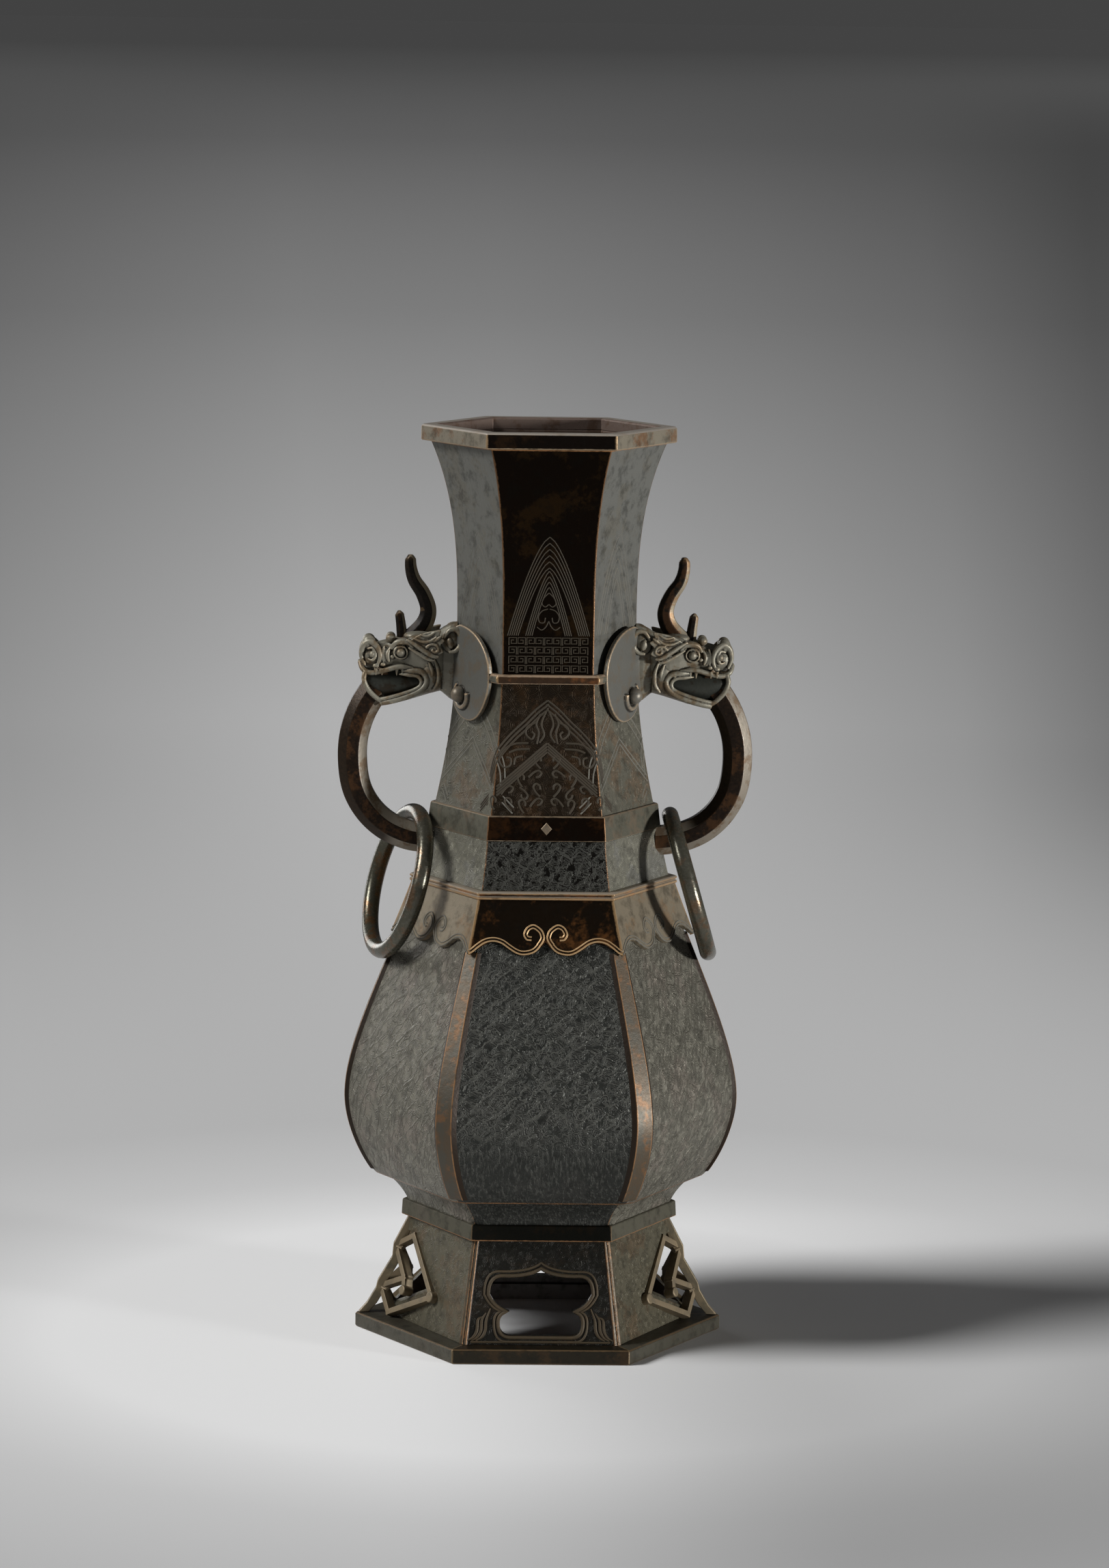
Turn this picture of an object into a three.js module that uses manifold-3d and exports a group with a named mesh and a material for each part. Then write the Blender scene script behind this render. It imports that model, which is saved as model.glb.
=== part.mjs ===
// Hexagonal baluster vase in cast bronze, with dragon handles and loose rings.
// Millimetres, +Z up. The origin is the middle of the base, on the surface that it stands on.
// Two corners of the hexagon point along X and carry the handles; two flat faces look along Y.
// A radius of a hexagonal piece is measured to its corners, unless its name says flat.

import * as THREE from 'three';
import { mergeVertices } from 'three/addons/utils/BufferGeometryUtils.js';
import Module from 'manifold-3d';

const wasm = await Module();
wasm.setup();

// Heights of the cast sections, from the base up
const plateHeight = 7.6;
const footHeight = 49.9;
const flangeHeight = 8;
const bellyHeight = 159.5;
const ledgeHeight = 4;
const shoulderHeight = 23.7;
const bandHeight = 12.1;
const lowerNeckHeight = 63.2;
const stringHeight = 4.5;
const upperNeckHeight = 109.5;
const lipHeight = 8;

// Corner radii of the outside
const plateRadius = 86;
const plateSideReach = 91.5;
const plateTopInset = 1.2;
const footTopRadius = 64.5;
const footBottomRadius = 76;
const flangeRadius = 67.8;
const coveRadius = 66.6;
const bellyLipRadius = 84;
const bellyRadius = 98.3;
const bellyTopRadius = 62.3;
const ledgeRadius = 65.8;
const shoulderRadius = 61.6;
const shoulderTopRadius = 57;
const neckFootRadius = 53.6;
const neckWaistRadius = 44.8;
const neckRadius = 43.9;
const neckMouthRadius = 57.6;
const bandRadius = 57.4;
const stringRadius = 49.6;
const lipRadius = 62.3;

// Walls, joints and play
const wall = 3.4;
const bellyWall = 3.8;
const spigotWall = 2.6;
const spigotDepth = 8;
const jointStep = 1.1;
const collarThickness = 2;
const flangeInset = 9;
const lipWall = 7.4;
const rabbetDepth = 2;
const play = 0.3;

// Belly form: where it is widest, how its curve leaves the shoulder, and its lip
const bellyWidestHeight = 119;
const bellyLipHeight = 80.2;
const bellyLipThickness = 1.4;
const floorThickness = 4;
const floorSeatWidth = 5;

// Ribs on the corners
const ribFlat = 4.4;
const ribRise = 1.2;
const ribSlope = 2.2;
const footRibFlat = 2.4;
const footRibRise = 0.7;
const cornerCut = 1.2;

// Scalloped lower edge of the collar
const collarTipDepth = 25.4;
const scallopRise = 6;
const scallopLobeReach = 12.3;
const scallopArchReach = 27;

// Foot windows
const windowBottom = 11.9;
const windowHalfWidth = 24.8;
const windowCuspReach = 15.2;
const windowCuspHeight = 23.6;
const windowLowerReach = 20;
const windowShoulder = 39.9;
const windowApex = 43.2;
const windowFrameWidth = 3.2;
const windowFrameRise = 1;

// Openwork corners of the foot, as the front view shows one of them.
// Each point is its reach past the top of the foot's corner, and its height.
const fretBarWidth = 3;
const fretBarDepth = 5;
const fretKnobRadius = 2.3;
const fretFromFoot = ([reach, height]) => [footTopRadius + reach, height];
const fretHead = fretFromFoot([-2.2, 48.7]);
const fretUpper = fretFromFoot([6.5, 41.8]);
const fretInner = fretFromFoot([2.3, 28.3]);
const fretLower = fretFromFoot([13.8, 21]);
const fretToe = fretFromFoot([10, 10.4]);
const fretKnob = fretFromFoot([-11, 24.2]);
const fretTongue = fretFromFoot([2.5, 22.6]);
const fretKnobSide = 37.4;
const spineWidth = 5;
const spineDepth = 4;

// Handles
const barDepth = 14.3;
const barWidth = 13;
const handleReach = 95.1;
const handleHeight = 284;
const handleFootDrop = 6.4;
const handleRise = 44;
const headRootX = 43;
const headLength = 48;
const hornThickness = 6.4;
const ruffThickness = 2.4;
const ruffStandoff = 3;
const ruffKnobRadius = 3.4;

// Rings
const ringRadius = 35;
const ringBar = 4.1;
const ringHangPlay = 0.85;
const ringHangOffset = 5;
const ringRestGap = 1.6;
const leftRingTurn = THREE.MathUtils.degToRad(16);

// Levels worked out from the heights
const footTop = plateHeight + footHeight;
const bellyBottom = footTop + flangeHeight;
const bellyTop = bellyBottom + bellyHeight;
const shoulderBottom = bellyTop + ledgeHeight;
const bandBottom = shoulderBottom + shoulderHeight;
const bandTop = bandBottom + bandHeight;
const stringBottom = bandTop + lowerNeckHeight;
const stringTop = stringBottom + stringHeight;
const lipBottom = stringTop + upperNeckHeight;
const vaseTop = lipBottom + lipHeight;
const bandJoint = bandBottom + bandHeight / 2;
const stringJoint = stringBottom + stringHeight / 2;

const cos30 = Math.cos(Math.PI / 6);
const atCorner = (flat) => flat / cos30;
const rad = THREE.MathUtils.degToRad;

// Finishes
const darkBronze = { color: 0x2b2a25, roughness: 0.55, metalness: 0.75 };
const greyBronze = { color: 0x57564c, roughness: 0.6, metalness: 0.7 };
const brownBronze = { color: 0x3b2618, roughness: 0.42, metalness: 0.8 };
const lipBronze = { color: 0x6a5a45, roughness: 0.5, metalness: 0.75 };

// Turns a closed geometry into a solid whose faces point outwards
function solid(geometry) {
  const bare = geometry.clone();
  bare.deleteAttribute('normal');
  bare.deleteAttribute('uv');
  const merged = mergeVertices(bare, 1e-4);
  const vertProperties = new Float32Array(merged.attributes.position.array);
  const triVerts = new Uint32Array(merged.index.array);
  const made = new wasm.Manifold(new wasm.Mesh({ numProp: 3, vertProperties, triVerts }));
  if (made.volume() > 0) return made;
  for (let first = 0; first < triVerts.length; first += 3) {
    [triVerts[first], triVerts[first + 1]] = [triVerts[first + 1], triVerts[first]];
  }
  return new wasm.Manifold(new wasm.Mesh({ numProp: 3, vertProperties, triVerts }));
}

function geometryOf(body) {
  const { vertProperties, triVerts, numProp } = body.getMesh();
  const positions = new Float32Array((vertProperties.length / numProp) * 3);
  for (let index = 0; index < positions.length / 3; index++) {
    for (let axis = 0; axis < 3; axis++) {
      positions[3 * index + axis] = vertProperties[numProp * index + axis];
    }
  }
  const geometry = new THREE.BufferGeometry();
  geometry.setAttribute('position', new THREE.BufferAttribute(positions, 3));
  geometry.setIndex(new THREE.BufferAttribute(new Uint32Array(triVerts), 1));
  geometry.computeVertexNormals();
  return geometry;
}

const union = (bodies) => bodies.reduce((sum, next) => sum.add(next));

// Skins a list of rings that all have the same number of points.
// A closed list runs up the outside and down the inside of a wall; an open one gets two end caps.
function skin(rings, closed) {
  const count = rings[0].length;
  const positions = rings.flat().flatMap((point) => [point.x, point.y, point.z]);
  const faces = [];
  const joins = closed ? rings.length : rings.length - 1;
  for (let ring = 0; ring < joins; ring++) {
    const here = ring * count;
    const next = ((ring + 1) % rings.length) * count;
    for (let point = 0; point < count; point++) {
      const after = (point + 1) % count;
      faces.push(here + point, here + after, next + after);
      faces.push(here + point, next + after, next + point);
    }
  }
  if (!closed) {
    const last = (rings.length - 1) * count;
    for (let point = 1; point < count - 1; point++) {
      faces.push(0, point + 1, point);
      faces.push(last, last + point, last + point + 1);
    }
  }
  const geometry = new THREE.BufferGeometry();
  geometry.setAttribute('position', new THREE.Float32BufferAttribute(positions, 3));
  geometry.setIndex(faces);
  return geometry;
}

// One level of a hexagonal wall. Each corner is cut flat; a rib raises the cut above the faces.
function hexLevel(radius, z, { flat = cornerCut, rise = 0, slope = 0 } = {}) {
  const points = [];
  for (let side = 0; side < 6; side++) {
    const angle = side * Math.PI / 3;
    const place = (reach, turn, along) => new THREE.Vector3(
      reach * Math.cos(angle) + along * Math.cos(angle + turn),
      reach * Math.sin(angle) + along * Math.sin(angle + turn),
      z,
    );
    const back = -2 * Math.PI / 3;
    const raised = radius + atCorner(rise);
    if (slope > 0) points.push(place(radius, back, flat + slope));
    points.push(place(raised, back, flat), place(raised, -back, flat));
    if (slope > 0) points.push(place(radius, -back, flat + slope));
  }
  return points;
}

// A hexagonal wall between an outside and an inside profile, both listed upwards as [radius, z]
function hexWall(outside, inside, rib = () => ({})) {
  const outer = outside.map(([radius, z]) => hexLevel(radius, z, rib(radius, z)));
  const inner = inside.map(([radius, z]) => (
    hexLevel(radius, z, { ...rib(radius, z), flat: cornerCut, rise: 0 })
  ));
  return solid(skin([...outer, ...inner.reverse()], true));
}

// A solid hexagonal block with an outside profile listed upwards as [radius, z]
function hexBlock(profile, grow = 0) {
  return solid(skin(profile.map(([radius, z]) => hexLevel(radius + atCorner(grow), z)), false));
}

// Heights spread evenly between two levels
function spread(from, to, steps) {
  return Array.from({ length: steps + 1 }, (unused, step) => from + (to - from) * step / steps);
}

// Outside profiles of the neck and shoulder
function upperNeckRadius(z) {
  const flareStart = stringTop + 0.16 * upperNeckHeight;
  const share = Math.max(0, (z - flareStart) / (lipBottom - flareStart));
  return neckRadius + (neckMouthRadius - neckRadius) * share ** 3;
}

function lowerNeckRadius(z) {
  const share = THREE.MathUtils.clamp((z - bandTop) / lowerNeckHeight, 0, 1);
  return neckWaistRadius + (neckFootRadius - neckWaistRadius) * (1 - share) ** 1.6;
}

function shoulderOutside(z) {
  const share = (z - shoulderBottom) / shoulderHeight;
  return shoulderTopRadius + (shoulderRadius - shoulderTopRadius) * (1 - share) ** 1.3;
}

// The belly runs from its top down to its widest level, and from there in to its lip
const bellyUpperCurve = new THREE.CubicBezierCurve(
  new THREE.Vector2(bellyTopRadius, bellyTop),
  new THREE.Vector2(bellyTopRadius + 0.38 * (bellyRadius - bellyTopRadius),
    bellyTop - 0.36 * (bellyTop - bellyWidestHeight)),
  new THREE.Vector2(bellyRadius, bellyWidestHeight + 0.245 * (bellyTop - bellyWidestHeight)),
  new THREE.Vector2(bellyRadius, bellyWidestHeight),
);
const bellyLowerCurve = new THREE.CubicBezierCurve(
  new THREE.Vector2(bellyRadius, bellyWidestHeight),
  new THREE.Vector2(bellyRadius, bellyWidestHeight - 0.36 * (bellyWidestHeight - bellyLipHeight)),
  new THREE.Vector2(bellyLipRadius + 0.49 * (bellyRadius - bellyLipRadius),
    bellyLipHeight + 0.23 * (bellyWidestHeight - bellyLipHeight)),
  new THREE.Vector2(bellyLipRadius, bellyLipHeight),
);
const coveTop = bellyLipHeight - bellyLipThickness;
const coveTopRadius = bellyLipRadius - 6;
const coveCurve = new THREE.QuadraticBezierCurve(
  new THREE.Vector2(coveTopRadius, coveTop),
  new THREE.Vector2(coveRadius + 3.5, (coveTop + bellyBottom) / 2 + 1),
  new THREE.Vector2(coveRadius, bellyBottom),
);

const asPairs = (points) => points.map((point) => [point.x, point.y]);

function bellyRadiusAt(z) {
  const points = bellyUpperCurve.getPoints(60);
  const above = points.findLastIndex((point) => point.y >= z);
  const upper = points[Math.max(0, above)];
  const lower = points[Math.min(points.length - 1, above + 1)];
  const share = upper.y === lower.y ? 0 : (upper.y - z) / (upper.y - lower.y);
  return upper.x + (lower.x - upper.x) * share;
}

// The outside of everything above the ledge, grown by the play that a fitted piece keeps
function upperEnvelope(grow) {
  const profile = [
    ...spread(shoulderBottom, bandBottom, 3).map((z) => [shoulderOutside(z), z]),
    [bandRadius, bandBottom + 0.01],
    [bandRadius - 1.5, bandTop],
    ...spread(bandTop + 0.01, stringBottom - grow, 6).map((z) => [lowerNeckRadius(z), z]),
    [stringRadius, stringBottom - grow + 0.01],
    [stringRadius, stringTop + grow],
    ...spread(stringTop + grow + 0.01, lipBottom, 12).map((z) => [upperNeckRadius(z), z]),
  ];
  return hexBlock(profile, grow);
}

// Base plate: longer towards the handles, open in the middle
function basePlate() {
  const stretched = (radius, side, z) => hexLevel(radius, z).map((point) => {
    const share = Math.max(0, Math.abs(point.x) / radius - 0.5) * 2;
    return new THREE.Vector3(point.x + Math.sign(point.x) * share * (side - radius), point.y, z);
  });
  const openRadius = footBottomRadius - atCorner(wall) - 4;
  return solid(skin([
    stretched(plateRadius, plateSideReach, 0),
    stretched(plateRadius, plateSideReach, plateHeight - plateTopInset),
    stretched(plateRadius - plateTopInset, plateSideReach - plateTopInset, plateHeight),
    hexLevel(openRadius, plateHeight),
    hexLevel(openRadius, 0),
  ], true));
}

// Lobed window outline, grown outwards by a frame width
function windowShape(grow) {
  const bottom = windowBottom - grow;
  const lobe = windowLowerReach + grow;
  const cusp = windowCuspReach + 1.5 * grow;
  const wide = windowHalfWidth + grow;
  const top = windowShoulder + grow;
  const apex = windowApex + 1.3 * grow;
  const bend = windowCuspHeight;
  const shape = new THREE.Shape();
  shape.moveTo(0, bottom);
  shape.lineTo(lobe - 6, bottom);
  shape.quadraticCurveTo(lobe, bottom, lobe, bend - 5.5);
  shape.quadraticCurveTo(lobe, bend - 1, cusp, bend);
  shape.quadraticCurveTo(wide - 3, bend + 1.5, wide, bend + 8);
  shape.quadraticCurveTo(wide, top, wide - 7, top);
  shape.quadraticCurveTo(6, top - 0.5, 0, apex);
  shape.quadraticCurveTo(-6, top - 0.5, -(wide - 7), top);
  shape.quadraticCurveTo(-wide, top, -wide, bend + 8);
  shape.quadraticCurveTo(-(wide - 3), bend + 1.5, -cusp, bend);
  shape.quadraticCurveTo(-lobe, bend - 1, -lobe, bend - 5.5);
  shape.quadraticCurveTo(-lobe, bottom, -(lobe - 6), bottom);
  shape.closePath();
  return shape;
}

// Extrudes a shape drawn in X and Z along Y, from one distance to another
function extrudeAlongY(shape, from, to, segments = 4) {
  const geometry = new THREE.ExtrudeGeometry(shape, {
    depth: to - from, bevelEnabled: false, curveSegments: segments,
  });
  geometry.rotateX(Math.PI / 2);
  geometry.translate(0, to, 0);
  return solid(geometry);
}

const footSlope = (footBottomRadius - footTopRadius) / footHeight;
const footRadiusAt = (z) => footBottomRadius - footSlope * (z - plateHeight);

// Foot wall with its two windows, the raised window frames and the two open corners
function footWall() {
  const rib = () => ({ flat: footRibFlat, rise: footRibRise, slope: 1.2 });
  const outside = [[footBottomRadius, plateHeight], [footTopRadius, footTop]];
  const inside = outside.map(([radius, z]) => [radius - atCorner(wall), z]);
  const framed = outside.map(([radius, z]) => [radius + atCorner(windowFrameRise), z]);
  const far = footBottomRadius + 10;
  const frames = hexWall(framed, inside)
    .intersect(extrudeAlongY(windowShape(windowFrameWidth), -far, far));
  return union([hexWall(outside, inside, rib), frames])
    .subtract(extrudeAlongY(windowShape(0), -far, far))
    .subtract(cornerOpening(1))
    .subtract(cornerOpening(-1));
}

function cornerOpening(side) {
  const shape = new THREE.Shape();
  const inset = fretBarWidth / 2 - 0.4;
  shape.moveTo(side * (fretHead[0] - inset), fretHead[1] + inset);
  shape.lineTo(side * (fretKnob[0] + inset), fretKnob[1] + inset);
  shape.lineTo(side * (fretToe[0] - 1), fretToe[1] + inset);
  shape.lineTo(side * (plateSideReach + 5), fretToe[1] + inset);
  shape.lineTo(side * (plateSideReach + 5), fretHead[1] + inset);
  shape.closePath();
  return extrudeAlongY(shape, -footBottomRadius, footBottomRadius);
}

// A bar between two points, its outer face in a plane with the given normal
function bar(from, to, normal, width, depth) {
  const along = to.clone().sub(from);
  const geometry = new THREE.BoxGeometry(along.length() + width, width, depth);
  geometry.translate(0, 0, -depth / 2);
  const forward = along.clone().normalize();
  const across = normal.clone().cross(forward);
  geometry.applyMatrix4(new THREE.Matrix4().makeBasis(forward, across, normal));
  const middle = from.clone().add(to).multiplyScalar(0.5);
  geometry.translate(middle.x, middle.y, middle.z);
  return solid(geometry);
}

function knob(centre, normal, radius, depth) {
  const geometry = new THREE.CylinderGeometry(radius, radius, depth, 8);
  const turn = new THREE.Quaternion().setFromUnitVectors(new THREE.Vector3(0, 1, 0), normal);
  geometry.translate(0, 0.8 - depth / 2, 0);
  geometry.applyQuaternion(turn);
  geometry.translate(centre.x, centre.y, centre.z);
  return solid(geometry);
}

// Openwork corner: a flared spine at the corner with a stepped lattice wing on either side
function cornerFret() {
  const spineSlope = (fretLower[0] - fretUpper[0]) / (fretUpper[1] - fretLower[1]);
  const spineX = (z) => fretUpper[0] + (fretUpper[1] - z) * spineSlope;
  const sideways = fretKnobSide / (spineX(fretKnob[1]) - fretKnob[0]);
  const wing = (facing) => {
    const place = ([x, z]) => new THREE.Vector3(x, facing * sideways * (spineX(z) - x), z);
    const [head, upper, inner, lower, toe, boss, tongue] = [
      fretHead, fretUpper, fretInner, fretLower, fretToe, fretKnob, fretTongue,
    ].map(place);
    const normal = upper.clone().sub(lower).cross(boss.clone().sub(lower)).normalize();
    if (normal.x < 0) normal.negate();
    const strip = (from, to) => bar(from, to, normal, fretBarWidth, fretBarDepth);
    return union([
      strip(head, boss), strip(head, upper), strip(upper, inner), strip(inner, lower),
      strip(inner, tongue), strip(lower, toe), strip(toe, boss),
      knob(boss, normal, fretKnobRadius, fretBarDepth),
      knob(tongue, normal, fretKnobRadius, fretBarDepth),
    ]);
  };
  const keepOut = union([
    hexBlock([[footBottomRadius, plateHeight - 1], [footTopRadius, footTop]],
      play + footRibRise),
    hexBlock([[plateSideReach + 20, -1], [plateSideReach + 20, plateHeight]], play),
    hexBlock([[flangeRadius + 20, footTop - play], [flangeRadius + 20, footTop + 20]]),
  ]);
  return union([wing(-1), wing(1), cornerSpine()]).subtract(keepOut);
}

function cornerSpine() {
  const front = [
    [footTopRadius + 0.2, footTop], [fretUpper[0] + 1, fretUpper[1] + 0.7],
    [fretUpper[0] + 1.6, fretUpper[1] - 5.8], [fretLower[0] + 1.3, fretLower[1] + 3],
    [fretLower[0] + 2.3, fretLower[1] - 1], [fretLower[0] + 6.7, fretToe[1] + 2.1],
    [plateSideReach - 2.5, plateHeight],
  ];
  const back = front.map(([x, z]) => [x - spineDepth - 1, z]).reverse();
  const shape = new THREE.Shape([...front, ...back].map(([x, z]) => new THREE.Vector2(x, z)));
  return extrudeAlongY(shape, -spineWidth / 2, spineWidth / 2);
}

function waistFlange() {
  const outside = [[flangeRadius + 0.4, footTop], [flangeRadius, bellyBottom]];
  return hexWall(outside, outside.map(([, z]) => [flangeRadius - flangeInset, z]));
}

// Ribs fade out where the collar covers the belly
function bellyRib(radius, z) {
  const collarEdge = bellyTop - collarTipDepth;
  const rise = z > collarEdge - 2 || z <= bellyLipHeight - 0.5 ? 0 : ribRise;
  return { flat: ribFlat * radius / bellyRadius, rise, slope: ribSlope };
}

const floorRadius = coveRadius - atCorner(bellyWall);
const floorSeat = bellyBottom + 6.5;

function belly() {
  const upper = asPairs(bellyUpperCurve.getPoints(12)).reverse();
  const edge = bellyTop - collarTipDepth - 2;
  const around = upper.findIndex(([, z]) => z > edge);
  upper.splice(around, 0, [bellyRadiusAt(edge), edge], [bellyRadiusAt(edge + 0.5), edge + 0.5]);
  const lower = asPairs(bellyLowerCurve.getPoints(7)).reverse();
  const cove = asPairs(coveCurve.getPoints(4)).reverse();
  const outside = [...cove, ...lower, ...upper.slice(1)];
  const thick = atCorner(bellyWall);
  const spigotTop = shoulderBottom + spigotDepth;
  const spigotFoot = shoulderRadius - atCorner(wall + play);
  const spigotHead = shoulderOutside(spigotTop) - atCorner(wall + play) - 0.4;
  const spigotInside = spigotHead - atCorner(spigotWall);
  const inside = [
    [floorRadius - floorSeatWidth, bellyBottom], [floorRadius - floorSeatWidth, floorSeat],
    [floorRadius + play, floorSeat], [floorRadius + play, floorSeat + floorThickness + play],
    [bellyLipRadius - 4 - thick, bellyLipHeight + 5],
    ...asPairs(bellyLowerCurve.getPoints(4)).reverse().slice(1).map(([r, z]) => [r - thick, z]),
    ...asPairs(bellyUpperCurve.getPoints(6)).reverse().slice(1, -1).map(([r, z]) => [r - thick, z]),
    [spigotInside, bellyTop - 4], [spigotInside, spigotTop],
  ];
  const spigot = [[spigotFoot, bellyTop], [spigotFoot, shoulderBottom], [spigotHead, spigotTop]];
  return hexWall([...outside, ...spigot], inside, bellyRib);
}

function bellyFloor() {
  return hexBlock([
    [floorRadius, floorSeat], [floorRadius, floorSeat + floorThickness],
  ]);
}

// Collar that lies on the top of the belly, with a scalloped lower edge on each face
function lappetCollar() {
  const bottom = bellyTop - collarTipDepth;
  const levels = spread(bottom, bellyTop, 5);
  const inside = levels.map((z) => [bellyRadiusAt(z) + atCorner(play), z]);
  const outside = inside.map(([radius, z]) => [radius + atCorner(collarThickness), z]);
  let body = hexWall(outside, inside);
  const half = outside[0][0] / 2;
  const arch = bottom + scallopRise;
  const scallop = new THREE.Shape();
  scallop.moveTo(-half, bottom - 1);
  scallop.lineTo(-half + 0.6, bottom);
  scallop.quadraticCurveTo(-half + 3, arch, -scallopArchReach, arch);
  scallop.quadraticCurveTo(-scallopArchReach + 6, arch, -scallopLobeReach - 3, bottom + 1.2);
  scallop.quadraticCurveTo(-scallopLobeReach, bottom, -scallopLobeReach + 5, bottom + 0.8);
  scallop.quadraticCurveTo(-2, bottom + 2, 0, arch);
  scallop.quadraticCurveTo(2, bottom + 2, scallopLobeReach - 5, bottom + 0.8);
  scallop.quadraticCurveTo(scallopLobeReach, bottom, scallopLobeReach + 3, bottom + 1.2);
  scallop.quadraticCurveTo(scallopArchReach - 6, arch, scallopArchReach, arch);
  scallop.quadraticCurveTo(half - 3, arch, half - 0.6, bottom);
  scallop.lineTo(half, bottom - 1);
  scallop.closePath();
  const near = outside[0][0] * cos30 - 12;
  const cutter = extrudeAlongY(scallop, near, near + 30, 3);
  for (let face = 0; face < 6; face++) {
    body = body.subtract(cutter.rotate([0, 0, face * 60]));
  }
  return body;
}

function shoulderLedge() {
  const outside = [
    [ledgeRadius - 0.6, bellyTop], [ledgeRadius, bellyTop + 0.8],
    [ledgeRadius, shoulderBottom - 0.8], [ledgeRadius - 0.8, shoulderBottom],
  ];
  const inside = shoulderRadius - atCorner(wall) - 0.01;
  return hexWall(outside, [[inside, bellyTop], [inside, shoulderBottom]]);
}

const lowerJointRadius = bandRadius - atCorner(jointStep + 1.6);
const bandSpigotOutside = lowerJointRadius - atCorner(wall + play);
const upperJointRadius = neckWaistRadius - atCorner(jointStep - play);
const stringSpigotOutside = neckRadius - atCorner(wall + play);

function shoulder() {
  const outside = [
    ...spread(shoulderBottom, bandBottom, 4).map((z) => [shoulderOutside(z), z]),
    [lowerJointRadius, bandBottom], [lowerJointRadius, bandJoint],
    [bandSpigotOutside, bandJoint], [bandSpigotOutside, bandJoint + spigotDepth],
  ];
  const thick = atCorner(wall);
  const spigotInside = bandSpigotOutside - atCorner(spigotWall);
  const inside = [
    ...spread(shoulderBottom, bandBottom - 4, 2).map((z) => [shoulderOutside(z) - thick, z]),
    [spigotInside, bandBottom], [spigotInside, bandJoint + spigotDepth],
  ];
  return hexWall(outside, inside);
}

function neckBand() {
  const seat = lowerJointRadius + atCorner(play);
  const middle = bandBottom + bandHeight * 0.5;
  const outside = [
    [bandRadius, bandBottom], [bandRadius - 1.3, bandTop - 1], [bandRadius - 1.5, bandTop],
  ];
  const stud = new THREE.CylinderGeometry(0, 3.4, 1.6, 4);
  stud.scale(0.75, 1, 1);
  stud.rotateX(Math.PI);
  stud.translate(0, -(bandRadius * cos30 + 0.2), middle);
  const turned = solid(stud);
  return union([hexWall(outside, [[seat, bandBottom], [seat, bandTop]]), turned,
    turned.rotate([0, 0, 180])]);
}

function lowerNeck() {
  const outside = [
    [lowerJointRadius, bandJoint], [lowerJointRadius, bandTop - 0.5],
    ...spread(bandTop, stringBottom, 7).map((z) => [lowerNeckRadius(z), z]),
    [upperJointRadius, stringBottom], [upperJointRadius, stringJoint],
    [stringSpigotOutside, stringJoint], [stringSpigotOutside, stringJoint + spigotDepth],
  ];
  const thick = atCorner(wall);
  const spigotInside = stringSpigotOutside - atCorner(spigotWall);
  const inside = [
    [lowerJointRadius - thick, bandJoint], [lowerJointRadius - thick, bandJoint + spigotDepth + 1],
    ...spread(bandTop + 6, stringBottom - 5, 4).map((z) => [lowerNeckRadius(z) - thick, z]),
    [spigotInside, stringBottom - 1], [spigotInside, stringJoint + spigotDepth],
  ];
  return hexWall(outside, inside);
}

function neckString() {
  const seat = Math.max(upperJointRadius, neckRadius) + atCorner(play);
  const outside = [
    [stringRadius - 1.2, stringBottom], [stringRadius, stringBottom + stringHeight * 0.35],
    [stringRadius, stringTop - stringHeight * 0.35], [stringRadius - 1.2, stringTop],
  ];
  return hexWall(outside, [[seat, stringBottom], [seat, stringTop]]);
}

function upperNeck() {
  const levels = spread(stringTop + 0.3 * upperNeckHeight, lipBottom, 9);
  const outside = [
    [neckRadius, stringJoint], [neckRadius, stringTop],
    ...levels.map((z) => [upperNeckRadius(z), z]),
    [neckMouthRadius, lipBottom + rabbetDepth],
  ];
  const inside = outside.map(([radius, z]) => [radius - atCorner(wall), z]);
  return hexWall(outside, inside);
}

function mouthRim() {
  const opening = lipRadius - atCorner(lipWall);
  const rabbet = neckMouthRadius + atCorner(play);
  const outside = [
    [lipRadius - 0.5, lipBottom], [lipRadius, lipBottom + 0.6],
    [lipRadius - 0.3, vaseTop - 0.8], [lipRadius - 1.2, vaseTop],
  ];
  const inside = [
    [rabbet, lipBottom], [rabbet, lipBottom + rabbetDepth],
    [opening, lipBottom + rabbetDepth], [opening, vaseTop - 1], [opening + 1, vaseTop],
  ];
  return hexWall(outside, inside);
}

// Handle bar: from the dragon's mouth out, down and back in to the shoulder
const handleFoot = bandBottom - handleFootDrop;

function handlePath() {
  const upper = [[18.1, 44], [11.6, 36], [5.1, 25.5], [0.8, 13], [0, 0], [2.5, -13]];
  const lower = [[8.8, 14.2], [17.1, 6.5]];
  const root = [[11.3, 2], [3, 0.4], [-7, -0.3]];
  const scale = handleRise / 44;
  const fromReach = (from) => ([inset, rise]) => (
    new THREE.Vector3(handleReach - inset * scale, 0, from + rise * scale)
  );
  return new THREE.CatmullRomCurve3([
    ...upper.map(fromReach(handleHeight)),
    ...lower.map(fromReach(handleFoot)),
    ...root.map(([reach, rise]) => (
      new THREE.Vector3(shoulderTopRadius + reach * scale, 0, handleFoot + rise * scale)
    )),
  ]);
}

function handleBar(grow) {
  const section = new THREE.Shape();
  for (let side = 0; side < 8; side++) {
    const angle = (side + 0.5) * Math.PI / 4;
    const across = (barWidth / 2 + grow) / Math.cos(Math.PI / 8) * Math.cos(angle);
    const deep = (barDepth / 2 + grow) / Math.cos(Math.PI / 8) * Math.sin(angle);
    if (side === 0) section.moveTo(deep, across);
    else section.lineTo(deep, across);
  }
  section.closePath();
  const path = handlePath();
  return solid(new THREE.ExtrudeGeometry(section, {
    steps: 26, extrudePath: path, bevelEnabled: false,
  }));
}

function handleLoop() {
  return handleBar(0).subtract(upperEnvelope(play));
}

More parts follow.
